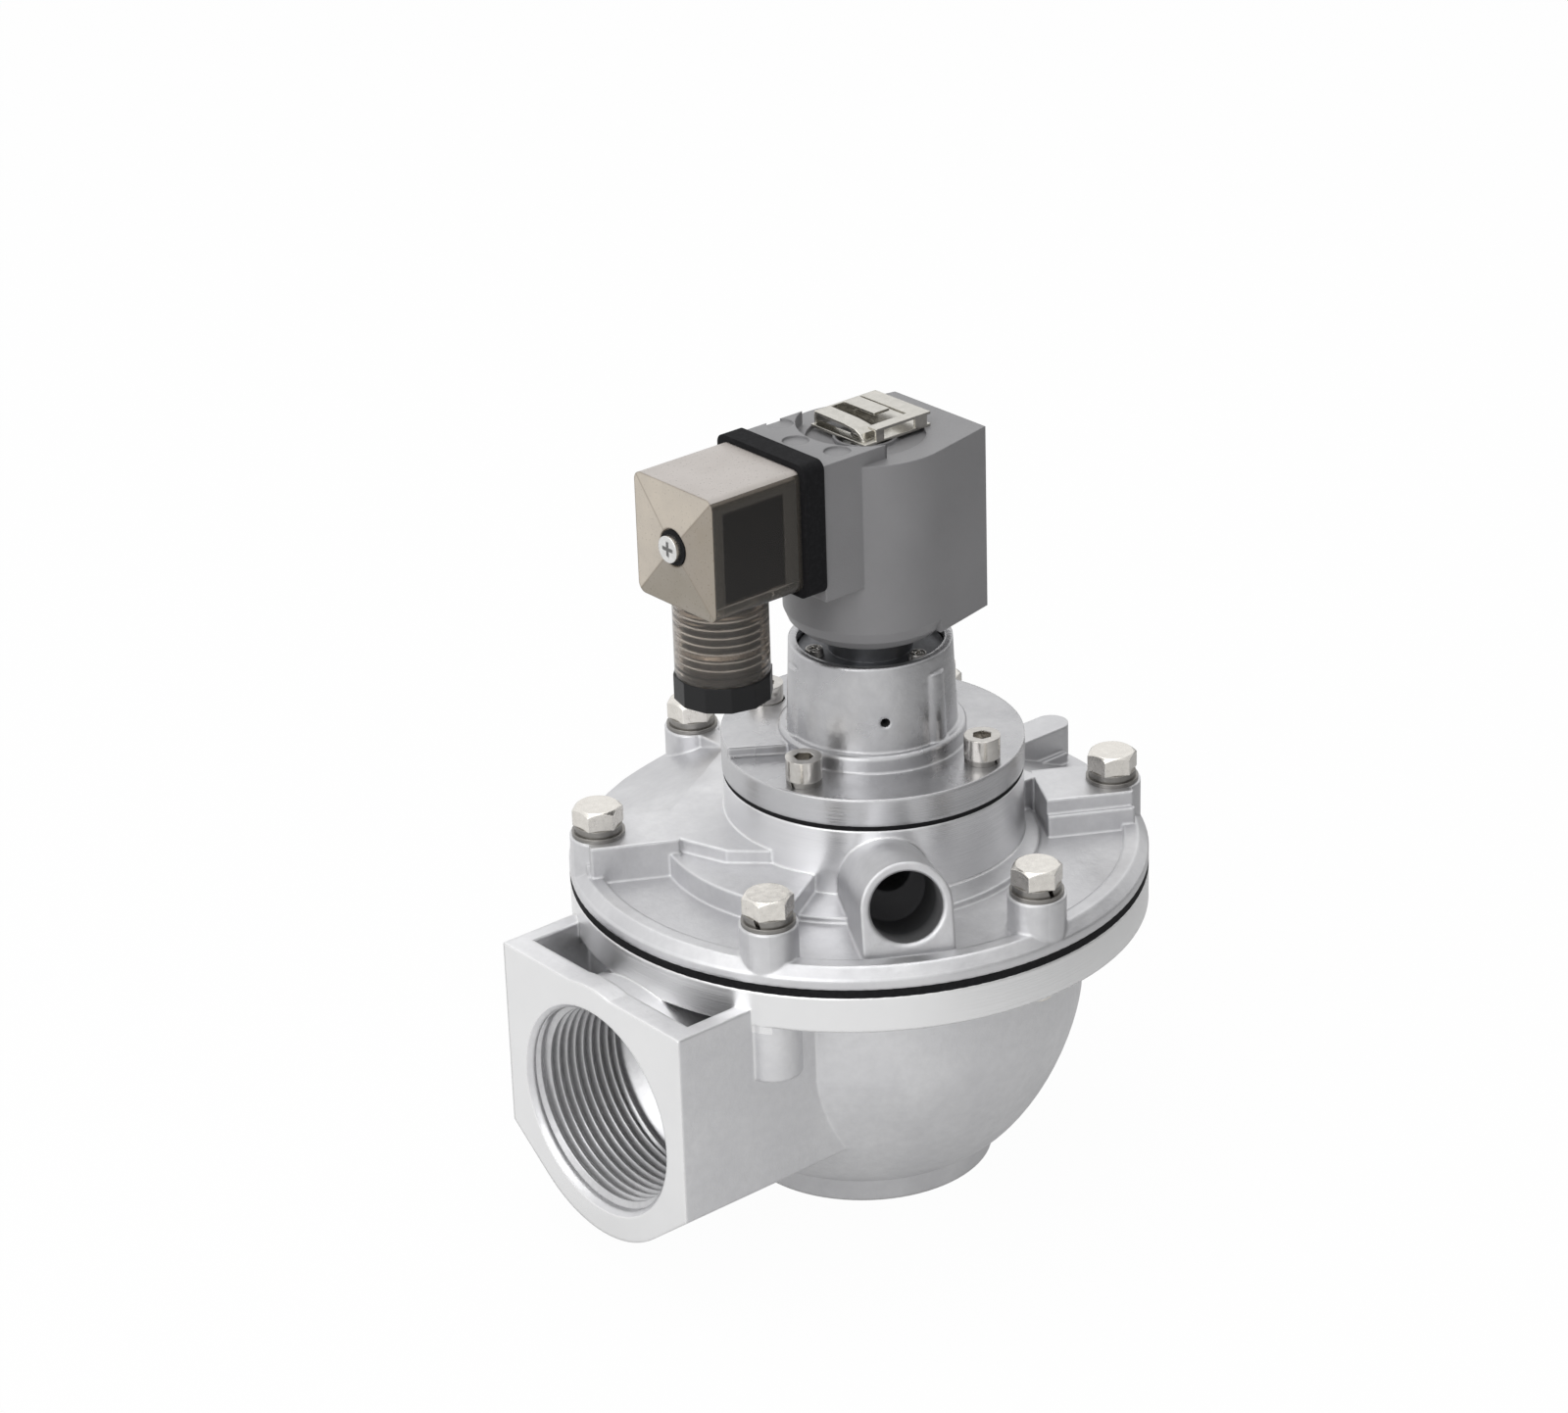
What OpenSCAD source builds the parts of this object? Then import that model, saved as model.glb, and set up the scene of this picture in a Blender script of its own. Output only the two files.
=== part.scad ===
// Right-angle pulse valve with a solenoid pilot and a plug connector.
// The origin is on the outlet axis at the outlet face, +Z points up and the inlet faces -X.

/* [Ports] */
// Wall radius of the inlet and outlet threads, at the major diameter
port_r = 23.9; // [22.5:0.1:25]
// Length of each port thread
port_depth = 26; // [20:0.5:28]
// Chamfer at the mouth of the inlet
port_chamfer = 1.1; // [0.5:0.1:2]
// Height of the inlet axis above the outlet face
inlet_z = 37.4; // [35.5:0.1:38.5]
// Distance from the outlet axis to the inlet face
inlet_reach = 78.2; // [74:0.2:90]

/* [Valve body] */
// Radius of the boss round the outlet
outlet_boss_r = 29.5; // [28.5:0.1:32]
// Half width of the square inlet box
box_half_w = 30.9; // [30:0.1:33]
// Height of the top of the inlet box
box_top_z = 67.5; // [65:0.1:70]
// Thickness of the plate round the inlet mouth
face_plate_t = 5.5; // [4:0.1:8]
// Thickness of the side walls of the inlet box
box_wall_t = 3.6; // [2.5:0.1:4.5]
// Wall of the round inlet hub outside the thread
hub_wall = 3.8; // [3:0.1:4.5]
// Height at which the sides of the inlet box turn in
box_corner_z = 22.4; // [18:0.2:26]
// Outer radius of the bowl under the flange
bowl_r = 50.6; // [49:0.1:53]
// Height at which the bowl starts to curve in
bowl_bend_z = 43; // [38:0.5:46]
// Height at which the bowl meets the outlet boss
bowl_foot_z = 5.6; // [4:0.1:8]
// Wall of the bowl
bowl_wall = 4.4; // [3.5:0.1:5.5]
// Thickness of the body flange
body_flange_t = 8.35; // [7:0.05:10]
// Inner radius of the outlet nozzle
nozzle_r = 20.5; // [18:0.1:21]
// Wall of the outlet nozzle
nozzle_wall = 3.4; // [2.8:0.1:4]
// Height of the main seat
seat_z = 58; // [56:0.2:59]

/* [Flanges] */
// Radius of the body flange, the diaphragm rim and the cover
flange_r = 65.65; // [65.65:0.05:70]
// Height of the top face of the body flange
flange_z = 72.15; // [71:0.05:74]
// Thickness of the clamped rim of the main diaphragm
rim_t = 2; // [1.5:0.1:3]
// Inner radius of the clamped rim
clamp_r = 46; // [45:0.1:47]
// Distance from the flange edge to the bolt axes
bolt_edge = 6.55; // [6.55:0.05:7.2]

/* [Cover] */
// Height of the cover deck at its edge above the diaphragm rim
deck_h = 4.5; // [4:0.1:5]
// Width and drop of the sloping edge of the cover
rim_slope = 2.4; // [1.5:0.1:3]
// Depth of the front pockets in the deck
pocket_depth = 1.4; // [0.8:0.1:1.6]
// Width of the band outside the front pockets
rim_band = 5.65; // [4:0.05:7]
// Height of the bolt bosses above the diaphragm rim
boss_h = 11.85; // [11:0.05:12.5]
// Radius of the bolt bosses
boss_r = 6.5; // [6.2:0.1:6.5]
// Distance from the axis at which the rear facets start to fall
facet_start = 39.5; // [38:0.5:42]
// Slope of the rear facets in degrees
facet_slope = 22; // [20:0.5:24]
// Radius of the low step round the raised base
step_r = 45; // [43:0.5:47]
// Height of that step above the diaphragm rim
step_h = 8.6; // [7:0.1:9.5]
// Width of the radial rib opposite the inlet
rib_w = 8; // [6:0.5:10]
// Height of that rib above the diaphragm rim
rib_h = 12.9; // [12:0.1:14]
// Distance from the flange edge to the end of the rib
rib_end = 1.65; // [1:0.05:5]
// Width of the webs from the hub to the bolt bosses
web_w = 5; // [4:0.5:6]

/* [Raised pilot base] */
// Shift of the pilot axis away from the inlet
pilot_x = 5; // [4:0.5:6]
// Radius of the raised base
base_r = 34; // [34:0.1:36]
// Height of the raised base above the diaphragm rim
base_h = 20.45; // [20:0.05:22]
// Radius of the exhaust chamber
chamber_r = 25; // [24:0.5:25.5]
// Height of the chamber floor above the diaphragm rim
chamber_floor = 7.9; // [7.5:0.1:8.2]
// Height of the underside of that floor above the diaphragm rim
floor_under = 5.3; // [5:0.1:5.6]
// Radius of the spring recess under the floor
recess_r = 19; // [18.5:0.1:19.5]
// Inner radius of the relief nozzle
relief_r = 8; // [7:0.1:8.2]
// Wall of the relief nozzle
relief_wall = 2.5; // [2:0.1:3]
// Height of the relief seat above the diaphragm rim
relief_h = 13.85; // [13:0.05:14.2]
// Direction of the exhaust port in degrees
exhaust_dir = 240; // [238:1:242]
// Upward tilt of the exhaust port in degrees
exhaust_tilt = 13; // [11:0.5:15]
// Radius of the exhaust port
exhaust_r = 8; // [7:0.1:8.4]
// Depth of the exhaust port
exhaust_depth = 20; // [16:0.5:20]
// Chamfer at the mouth of the exhaust port
exhaust_chamfer = 0.6; // [0.3:0.1:1]
// Height of the centre of the exhaust mouth above the diaphragm rim
exhaust_h = 13.75; // [13.5:0.05:14.5]
// Distance from the main axis to the centre of the exhaust mouth
exhaust_reach = 55.35; // [53:0.05:56]
// Wall of the block round the exhaust port
exhaust_wall = 2.15; // [1.6:0.05:2.6]
// Radius of the passage from the chamber to the exhaust port
duct_r = 5; // [4:0.1:5]

/* [Fasteners] */
// Radius of the cover bolts
bolt_r = 3; // [2.5:0.1:3]
// Width across the flats of the bolt heads
bolt_af = 10; // [9:0.1:10]
// Height of the bolt heads
bolt_head_h = 4.4; // [4:0.1:5]
// Length of the cover bolts under the head
bolt_len = 28; // [27:0.5:30]
// Radius of the flat washers
washer_r = 6; // [5.5:0.1:6.2]
// Thickness of the flat washers
washer_t = 1; // [0.8:0.1:1.2]
// Radius of the spring washers
spring_washer_r = 5.4; // [5:0.1:5.6]
// Thickness of the spring washers
spring_washer_t = 1.6; // [1.2:0.1:1.8]
// Clearance round screws in their holes
screw_gap = 0.3; // [0.2:0.05:0.4]
// Clearance of a screw in its thread
thread_gap = 0.05; // [0.02:0.01:0.1]

/* [Pilot housing] */
// Thickness of the clamped rim of the pilot diaphragm
pilot_rim_t = 1.2; // [1:0.1:1.6]
// Thickness of the pilot flange
pilot_flange_t = 6.45; // [6:0.05:8]
// Radius of the pilot flange
pilot_flange_r = 34.2; // [34:0.1:36]
// Height of the raised pad on the pilot flange
flange_pad_h = 2.3; // [1.5:0.1:2.5]
// Radius of the housing cylinder at its foot
tower_r = 19.2; // [19:0.1:20]
// Draft of the housing cylinder
tower_draft = 0.8; // [0.4:0.1:1]
// Height of the housing cylinder above the flange
tower_h = 24.15; // [23:0.05:26]
// Height of the stepped foot of the cylinder
foot_h = 4; // [3:0.1:5]
// Width of the stepped foot
foot_w = 2; // [1:0.1:2.2]
// Thickness of the wall round the tube plate
cup_wall = 1.8; // [1.4:0.1:2]
// Depth of the tube plate under the top of the wall
cup_depth = 2.4; // [1.8:0.1:3]
// Radius of the vent hole
vent_r = 1.1; // [0.8:0.1:1.4]
// Height of the vent hole above the pilot flange
vent_h = 11.25; // [10.5:0.05:12]
// Direction of the vent hole in degrees
vent_dir = 238; // [235:1:241]
// Radius of the circle of the pilot screws
pilot_screw_circle = 28.6; // [28:0.1:29]
// Direction of the first pilot screw in degrees
pilot_screw_dir = 197; // [195:1:199]
// Radius of the pilot screws
pilot_screw_r = 2.5; // [2:0.1:2.5]
// Radius of the pilot screw heads
pilot_head_r = 4.1; // [3.8:0.1:4.3]
// Height of the pilot screw heads
pilot_head_h = 5; // [4.5:0.1:5.5]
// Length of the pilot screws under the head
pilot_screw_len = 14; // [13:0.5:16]
// Radius of the pilot orifice
orifice_r = 1.2; // [0.8:0.1:1.6]

/* [Main diaphragm] */
// Radius of the main seal pad
main_pad_r = 28; // [27:0.1:28.5]
// Thickness of the main seal pad
main_pad_t = 3; // [2.5:0.1:3.2]
// Thickness of the diaphragm webs
web_t = 2; // [1.6:0.1:2]
// Radius of the main support plate
main_plate_r = 26.5; // [25:0.1:27]
// Thickness of the main support plate
main_plate_t = 2; // [1.5:0.1:2.2]
// Radius of the clamp screw through the main diaphragm
clamp_screw_r = 4; // [3:0.1:4]
// Radius of the head of the clamp screw
clamp_head_r = 8; // [7:0.1:10]
// Thickness of the head of the clamp screw
clamp_head_t = 3; // [2:0.1:4]
// Width across the flats of the clamp nut
clamp_nut_af = 13; // [11:0.1:13]
// Thickness of the clamp nut
clamp_nut_t = 4; // [3.5:0.1:4.2]
// Mean radius of the main spring
main_spring_r = 15.5; // [15.2:0.1:16]
// Wire diameter of the main spring
main_wire = 1.8; // [1.4:0.1:2]

/* [Pilot diaphragm] */
// Radius of the pilot seal pad
pilot_pad_r = 12.5; // [11.5:0.1:13]
// Thickness of the pilot seal pad
pilot_pad_t = 2.5; // [2:0.1:2.6]
// Thickness of the pilot diaphragm web
pilot_web_t = 1.2; // [1:0.1:1.4]
// Thickness of the pilot support plate
pilot_plate_t = 1.5; // [1:0.1:1.6]
// Radius of the pilot rivet
rivet_r = 2.5; // [2:0.1:3]
// Radius of the heads of the pilot rivet
rivet_head_r = 4.5; // [4:0.1:5]
// Thickness of the heads of the pilot rivet
rivet_head_t = 1; // [0.8:0.1:1.2]
// Mean radius of the pilot spring
pilot_spring_r = 8; // [7:0.1:9]
// Wire diameter of the pilot spring
pilot_wire = 1; // [0.8:0.1:1.1]
// Depth of the pilot diaphragm room over the rim
dome_h = 3.7; // [3.5:0.05:4]

/* [Armature and tube] */
// Radius of the armature bore in the tube
tube_bore_r = 5.85; // [5.6:0.05:5.9]
// Wall of the armature tube
tube_wall = 0.75; // [0.6:0.05:0.8]
// Running clearance of the armature
armature_gap = 0.1; // [0.05:0.01:0.1]
// Stroke of the armature
armature_stroke = 2; // [1.6:0.1:2]
// Length of the armature
armature_len = 30; // [28:0.5:32]
// Radius of the armature seal
armature_seal_r = 3.6; // [3.2:0.1:4]
// Length of the armature seal
armature_seal_t = 2.4; // [2.2:0.1:2.6]
// Height of the armature seat above the pilot flange
armature_seat_h = 12.75; // [12:0.05:13]
// Mean radius of the armature spring
armature_spring_r = 2.4; // [2.2:0.1:2.5]
// Wire diameter of the armature spring
armature_wire = 0.7; // [0.5:0.1:0.8]
// Depth of the spring bore in the armature
armature_bore_depth = 8; // [6:0.5:9]
// Thickness of the tube plate
tube_plate_t = 3; // [2.5:0.1:3.2]
// Height of the collar that carries the coil
collar_h = 6; // [5.5:0.1:7]
// Radius of that collar
collar_r = 9.5; // [9:0.1:10]
// Radius of the flange at the foot of the tube
tube_flange_r = 8.8; // [8.6:0.1:9.2]
// Thickness of the flange at the foot of the tube
tube_flange_t = 1.5; // [1.2:0.1:1.6]
// Section of the O-ring under the tube flange
oring_d = 1.6; // [1.4:0.1:1.8]
// Radius of the circle of the plate screws
plate_screw_circle = 13.4; // [13.4:0.1:13.6]
// Radius of the plate screws
plate_screw_r = 1.2; // [1:0.1:1.3]
// Radius of the plate screw heads
plate_head_r = 2.3; // [2:0.1:2.4]
// Length of the plate screws under the head
plate_screw_len = 9; // [7:0.5:10]
// Height of the plate screw heads
plate_head_h = 1.8; // [1.4:0.1:2]
// Radius of the stem above the tube
stem_r = 3.2; // [3:0.1:3.4]
// Depth of the clip groove in the stem
groove_depth = 0.7; // [0.5:0.1:0.9]

/* [Coil] */
// Radius of the round part of the coil
coil_r = 19.3; // [19:0.1:20]
// Distance from the pilot axis to the flat end of the coil
coil_end = 21.8; // [21:0.1:23]
// Half width of the squared end of the coil
coil_half_w = 14.9; // [14:0.1:15.5]
// Height of the underside of the squared end above the coil's foot
coil_tip_lift = 1.8; // [1:0.1:3]
// Height of the round lower part of the coil
skirt_h = 5; // [4:0.1:6]
// Radius of the foot of the coil
skirt_r = 15.6; // [15:0.1:16.5]
// Height of the coil above its collar
coil_h = 44.5; // [43:0.1:48]
// Distance from the pilot axis to the connector face
block_reach = 24.3; // [24:0.1:26]
// Half width of the connector block
block_half_w = 14; // [13.5:0.1:14.5]
// Height of the connector block
block_h = 31.5; // [31:0.1:33]
// Step of the connector block above the coil top
block_step = 3.2; // [2:0.1:4]
// Radius of the round marks on the connector block
mark_r = 3; // [2.4:0.1:3.1]
// Depth of the round marks on the connector block
mark_depth = 0.5; // [0.3:0.1:0.8]
// Running clearance between the coil and the tube
coil_gap = 0.08; // [0.04:0.01:0.1]
// Radius of the ring recess round the stem
ring_recess_r = 13.2; // [12.5:0.1:14]
// Depth of the ring recess
ring_recess_depth = 1; // [0.6:0.1:1.4]

/* [Plug connector] */
// Thickness of the plug gasket
plug_gasket_t = 5.6; // [4.5:0.1:6]
// Overhang of the plug gasket round the hood
plug_gasket_lip = 1.4; // [1:0.1:1.6]
// Half width of the hood
hood_half_w = 13.1; // [12.8:0.1:13.4]
// Height of the hood
hood_h = 28; // [27:0.1:29]
// Length of the hood
hood_len = 25; // [24.5:0.1:27]
// Wall of the hood
hood_wall = 2; // [1.6:0.1:2.2]
// Corner radius of the hood
hood_corner = 2.2; // [2:0.1:3]
// Radius of the cable neck
neck_r = 10.5; // [10.2:0.1:10.8]
// Wall of the cable neck
neck_wall = 1.7; // [1.5:0.1:1.8]
// Length of the cable neck
neck_h = 18.2; // [17:0.1:19]
// Distance from the hood face to the neck axis
neck_back = 12.5; // [12:0.1:13]
// Number of thread turns in the neck
neck_turns = 8; // [6:1:9]
// Height of the gland nut under the neck
gland_head_h = 5.8; // [5:0.1:7]
// Radius of the gland nut over its corners
gland_head_r = 10.9; // [10.5:0.1:11.4]
// Radius of the cable hole in the gland nut
cable_hole_r = 4.5; // [4:0.1:4.8]
// Length of the threaded shank of the gland nut
gland_shank_h = 6; // [5:0.1:7]
// Thickness of the gland washer
gland_washer_t = 1; // [0.8:0.1:1.2]
// Height of the gland seal
gland_seal_h = 7; // [6:0.1:8]
// Radius of the plug screw
plug_screw_r = 1.5; // [1.2:0.1:1.6]
// Radius of the head of the plug screw
plug_head_r = 3; // [2.6:0.1:3.2]
// Length of the contact insert
insert_len = 21; // [18:0.1:21]
// Radius of the terminal screws
terminal_r = 1.2; // [1:0.1:1.5]
// Radius of the terminal screw heads
terminal_head_r = 2; // [1.8:0.1:2.4]
// Width of each coil blade
blade_w = 6.3; // [5:0.1:6.5]
// Thickness of each coil blade
blade_t = 0.8; // [0.6:0.1:1]
// Length of the coil blades in front of the coil
blade_len = 14; // [12:0.1:15]
// Distance of the coil blades from the plug screw
blade_off = 6; // [5.5:0.1:6.5]

/* [Clip] */
// Thickness of the clip strip
clip_t = 0.6; // [0.5:0.05:0.8]
// Distance from the stem to the left edge of the clip
clip_left = 5.4; // [5:0.1:6]
// Distance from the stem to the right edge of the clip
clip_right = 13.5; // [12:0.1:14]
// Distance from the stem to the front edge of the clip
clip_front = 6.2; // [5.6:0.1:7]
// Distance from the stem to the back edge of the clip
clip_back = 12; // [10:0.1:13]
// Height of the raised strips of the clip
clip_rise = 3.4; // [3:0.1:4]
// Width of the strips of the clip
clip_strip_w = 4.4; // [3.8:0.1:4.6]
// Gap between the clip and the stem
clip_gap = 0.1; // [0.05:0.01:0.2]

/* [Hidden] */
$fn = 64;
bowl_power = 1.32;
bowl_steps = 18;
bolt_count = 6;
bolt_start = 30;
pilot_screw_count = 4;
cover_z = flange_z + rim_t;
bolt_circle_r = flange_r - bolt_edge;
pocket_r = flange_r - rim_band;
rib_reach = flange_r - rib_end;
deck_z = cover_z + deck_h;
pocket_z = deck_z - pocket_depth;
boss_z = cover_z + boss_h;
base_z = cover_z + base_h;
chamber_z = cover_z + chamber_floor;
under_z = cover_z + floor_under;
relief_z = cover_z + relief_h;
exhaust_z = cover_z + exhaust_h;
flange_under_z = flange_z - body_flange_t;
bolts = [for (i = [0:bolt_count - 1]) bolt_start + i * 360 / bolt_count];
bolt_hole_r = bolt_r + screw_gap;
bolt_head_z = boss_z + washer_t + spring_washer_t;
deep_boss_z = 50;
bolt_end_z = bolt_head_z - bolt_len;
inlet_side_dirs = [150, 210];
pad_dirs = [150, 330];
web_dirs = [30, 90];
pad_half_w = 8;
pad_start = 42;
pad_step_z = boss_z - 3.5;
box_in = 30;
reach = 200;
throat_r = nozzle_r + 0.5;
nozzle_out_r = nozzle_r + nozzle_wall;
hub_out_r = port_r + hub_wall;
exhaust_out_r = exhaust_r + exhaust_wall;
pilot_flange_z = base_z + pilot_rim_t;
pilot_top_z = pilot_flange_z + pilot_flange_t;
tower_z = pilot_top_z + tower_h;
tower_top_r = tower_r - tower_draft;
plate_top_z = tower_z - cup_depth;
plate_z = plate_top_z - tube_plate_t;
tube_z = plate_z - tube_flange_t;
oring_z = tube_z - oring_d;
oring_seat_r = tube_flange_r + 0.3;
oring_mean_r = tube_flange_r - 0.9;
cup_r = tower_top_r - cup_wall;
tube_plate_r = cup_r - 0.3;
tube_r = tube_bore_r + tube_wall;
armature_seat_z = pilot_top_z + armature_seat_h;
room_floor_z = armature_seat_z - 3;
room_r = tube_bore_r + 0.75;
dome_z = pilot_flange_z + dome_h;
vent_z = pilot_top_z + vent_h;
collar_z = plate_top_z + collar_h;
coil_z = collar_z + coil_h;
block_z = coil_z + block_step;
plate_screw_dirs = [40, 160, 280];
mark_dirs = [141, 175, 210];
mark_circle = coil_r - 0.7;
pilot_screws = [for (i = [0:pilot_screw_count - 1]) pilot_screw_dir + i * 360 / pilot_screw_count];
pilot_hole_r = pilot_screw_r + screw_gap;
pilot_washer_t = 1.3;
pilot_washer_r = 4;
pad_z = seat_z + main_pad_t;
main_plate_z = pad_z + web_t;
nut_z = main_plate_z + main_plate_t;
relief_pad_z = relief_z + pilot_pad_t;
pilot_plate_z = relief_pad_z + pilot_web_t;
rivet_z = pilot_plate_z + pilot_plate_t;
armature_z = armature_seat_z + armature_seal_t;
armature_top_z = armature_z + armature_len;
core_z = armature_top_z + armature_stroke + 0.1;
tube_top_z = coil_z - 3.5;
core_cap_t = 1.2;
stem_z = coil_z + 1;
groove_z = coil_z;
groove_h = clip_t + 0.4;
face_x = pilot_x - block_reach;
gasket_x = face_x - plug_gasket_t;
hood_x = gasket_x - hood_len;
neck_x = hood_x + neck_back;
plug_z = block_z - 13.9;
hood_z = plug_z - hood_h / 2;
neck_z = hood_z - neck_h;
neck_bore_r = neck_r - neck_wall;
hood_in_w = hood_half_w - hood_wall;
hood_in_h = hood_h / 2 - hood_wall;
insert_half_w = hood_in_w - 0.5;
insert_half_h = hood_in_h - 0.5;
shank_r = neck_bore_r - 0.9;
shank_z = neck_z + gland_shank_h;
seal_z = shank_z + gland_washer_t;
plug_seal_t = 0.8;
insert_x = gasket_x - insert_len;
terminal_depth = 5;
terminal_spots = [[0, -blade_off], [0, blade_off], [-blade_off, 0]];
face_recess = 1;

function bowl_point(t, gap) =
    [outlet_boss_r + (bowl_r - outlet_boss_r) * pow(cos(t), bowl_power) - gap * cos(t),
     bowl_bend_z - (bowl_bend_z - bowl_foot_z) * pow(sin(t), bowl_power) + gap * sin(t)];

module at_bolts() {
    for (a = bolts) rotate([0, 0, a]) translate([bolt_circle_r, 0, 0]) children();
}

module ring(r_out, r_in, z0, h) {
    translate([0, 0, z0]) rotate_extrude()
        polygon([[r_in, 0], [r_out, 0], [r_out, h], [r_in, h]]);
}

module x_prism(x0, length) {
    translate([x0, 0, 0]) rotate([90, 0, 90]) linear_extrude(length) children();
}

module along(dir, z, d0, r, length) {
    rotate([0, 0, dir]) translate([d0, 0, z]) rotate([0, 90, 0]) cylinder(r = r, h = length);
}

module rounded_square(w, h, r) {
    union() {
        square([w - 2 * r, h], center = true);
        square([w, h - 2 * r], center = true);
        for (x = [-1, 1], y = [-1, 1])
            translate([x * (w / 2 - r), y * (h / 2 - r)]) circle(r, $fn = 32);
    }
}

// Round wire wound as a helix between two heights
module wire_spring(mean_r, wire, z0, z1, turns) {
    steps = 18;
    sides = 6;
    count = round(turns * steps);
    rise = (z1 - z0 - wire) / count;
    points = [for (i = [0:count], j = [0:sides - 1])
        let (a = i * 360 / steps, b = j * 360 / sides, r = mean_r + wire / 2 * cos(b))
        [r * cos(a), r * sin(a), z0 + wire / 2 + i * rise + wire / 2 * sin(b)]];
    walls = [for (i = [0:count - 1], j = [0:sides - 1])
        let (k = (j + 1) % sides)
        [i * sides + j, i * sides + k, (i + 1) * sides + k, (i + 1) * sides + j]];
    start = [for (j = [0:sides - 1]) sides - 1 - j];
    end = [for (j = [0:sides - 1]) count * sides + j];
    polyhedron(points, concat([start], walls, [end]));
}

module box_outline() {
    turn = -2 * atan((inlet_z - box_corner_z) / box_half_w);
    foot = [box_half_w * cos(turn), inlet_z + box_half_w * sin(turn)];
    union() {
        translate([0, inlet_z]) circle(box_half_w);
        polygon([[-box_half_w, box_top_z], [-box_half_w, box_corner_z], [-foot[0], foot[1]],
                 [foot[0], foot[1]], [box_half_w, box_corner_z], [box_half_w, box_top_z]]);
    }
}

module inlet_box() {
    pocket_x = -inlet_reach + face_plate_t;
    pocket_half_w = box_half_w - box_wall_t;
    difference() {
        x_prism(-inlet_reach, inlet_reach - box_in) box_outline();
        difference() {
            translate([pocket_x, -pocket_half_w, inlet_z])
                cube([inlet_reach, 2 * pocket_half_w, box_top_z]);
            translate([pocket_x - 1, 0, inlet_z]) rotate([0, 90, 0])
                cylinder(r = hub_out_r, h = inlet_reach);
        }
    }
}

module bowl() {
    curve = [for (i = [0:bowl_steps]) bowl_point(90 - i * 90 / bowl_steps, 0)];
    rotate_extrude()
        polygon(concat([[0, 0], [outlet_boss_r, 0]], curve,
                       [[bowl_r, flange_z - 1], [0, flange_z - 1]]));
}

module body_room() {
    curve = [for (i = [0:bowl_steps - 2]) bowl_point(i * 90 / bowl_steps, bowl_wall)];
    floor_z = curve[len(curve) - 1][1];
    rotate_extrude()
        polygon(concat([[0, flange_z + 1], [clamp_r, flange_z + 1], [clamp_r, flange_under_z]],
                       curve,
                       [[hub_out_r, floor_z], [hub_out_r, port_depth + 2],
                        [nozzle_out_r, port_depth + 6], [nozzle_out_r, seat_z - 1.2],
                        [nozzle_out_r - 0.9, seat_z], [0, seat_z]]));
}

module outlet_bore() {
    rotate_extrude()
        polygon([[0, -1], [port_r, -1], [port_r, port_depth], [nozzle_r, port_depth + 3],
                 [nozzle_r, seat_z + 1], [0, seat_z + 1]]);
}

module inlet_bore() {
    thread_end = inlet_reach - port_depth;
    translate([0, 0, inlet_z]) rotate([0, -90, 0]) rotate_extrude()
        polygon([[0, box_in - 2], [throat_r, box_in - 2], [throat_r, thread_end - 3],
                 [port_r, thread_end], [port_r, inlet_reach - port_chamfer],
                 [port_r + port_chamfer, inlet_reach],
                 [port_r + port_chamfer, inlet_reach + 1], [0, inlet_reach + 1]]);
}

module body_boss(dir, z0) {
    rotate([0, 0, dir]) {
        translate([bolt_circle_r, 0, z0]) cylinder(r = boss_r, h = flange_z - 1 - z0);
        translate([bowl_r - 3, -boss_r / 2, z0])
            cube([bolt_circle_r - bowl_r + 3, boss_r, flange_z - 1 - z0]);
    }
}

module valve_body() {
    color("gainsboro") difference() {
        union() {
            translate([0, 0, flange_under_z]) cylinder(r = flange_r, h = body_flange_t, $fn = 128);
            bowl();
            inlet_box();
            for (a = inlet_side_dirs) body_boss(a, deep_boss_z);
        }
        body_room();
        outlet_bore();
        inlet_bore();
        at_bolts() translate([0, 0, bolt_end_z - 1])
            cylinder(r = bolt_r + thread_gap, h = reach);
    }
}

module main_diaphragm_rim() {
    color("#2b2b2d") difference() {
        ring(flange_r, clamp_r, flange_z, rim_t);
        at_bolts() translate([0, 0, flange_z - 1]) cylinder(r = bolt_hole_r, h = rim_t + 2);
    }
}

module main_diaphragm_web() {
    outer = clamp_r - 1.5;
    inner = main_pad_r + 3;
    color("#2b2b2d") rotate_extrude()
        polygon([[clamp_screw_r + thread_gap, pad_z], [inner, pad_z], [outer, flange_z],
                 [clamp_r, flange_z], [clamp_r, cover_z], [outer - 0.8, cover_z],
                 [inner - 0.8, main_plate_z], [clamp_screw_r + thread_gap, main_plate_z]]);
}

module main_seal_pad() {
    color("#3a3a3c") ring(main_pad_r, clamp_screw_r + thread_gap, seat_z, main_pad_t);
}

module main_support_plate() {
    color("silver") ring(main_plate_r, clamp_screw_r + thread_gap, main_plate_z, main_plate_t);
}

module main_clamp_screw() {
    color("silver") union() {
        translate([0, 0, seat_z - clamp_head_t]) cylinder(r = clamp_head_r, h = clamp_head_t);
        translate([0, 0, seat_z - 1])
            cylinder(r = clamp_screw_r, h = nut_z + clamp_nut_t - seat_z + 1.5);
    }
}

module main_clamp_nut() {
    color("silver") translate([0, 0, nut_z]) difference() {
        cylinder(d = clamp_nut_af / cos(30), h = clamp_nut_t, $fn = 6);
        translate([0, 0, -1]) cylinder(r = clamp_screw_r + thread_gap, h = clamp_nut_t + 2);
    }
}

module main_spring() {
    color("lightgray") wire_spring(main_spring_r, main_wire, nut_z, under_z, 3.5);
}

module facet_room(dir) {
    rotate([0, 0, dir]) translate([facet_start, 0, boss_z]) rotate([0, facet_slope, 0])
        translate([-reach, -reach, -reach]) cube([2 * reach, 2 * reach, reach]);
}

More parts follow.
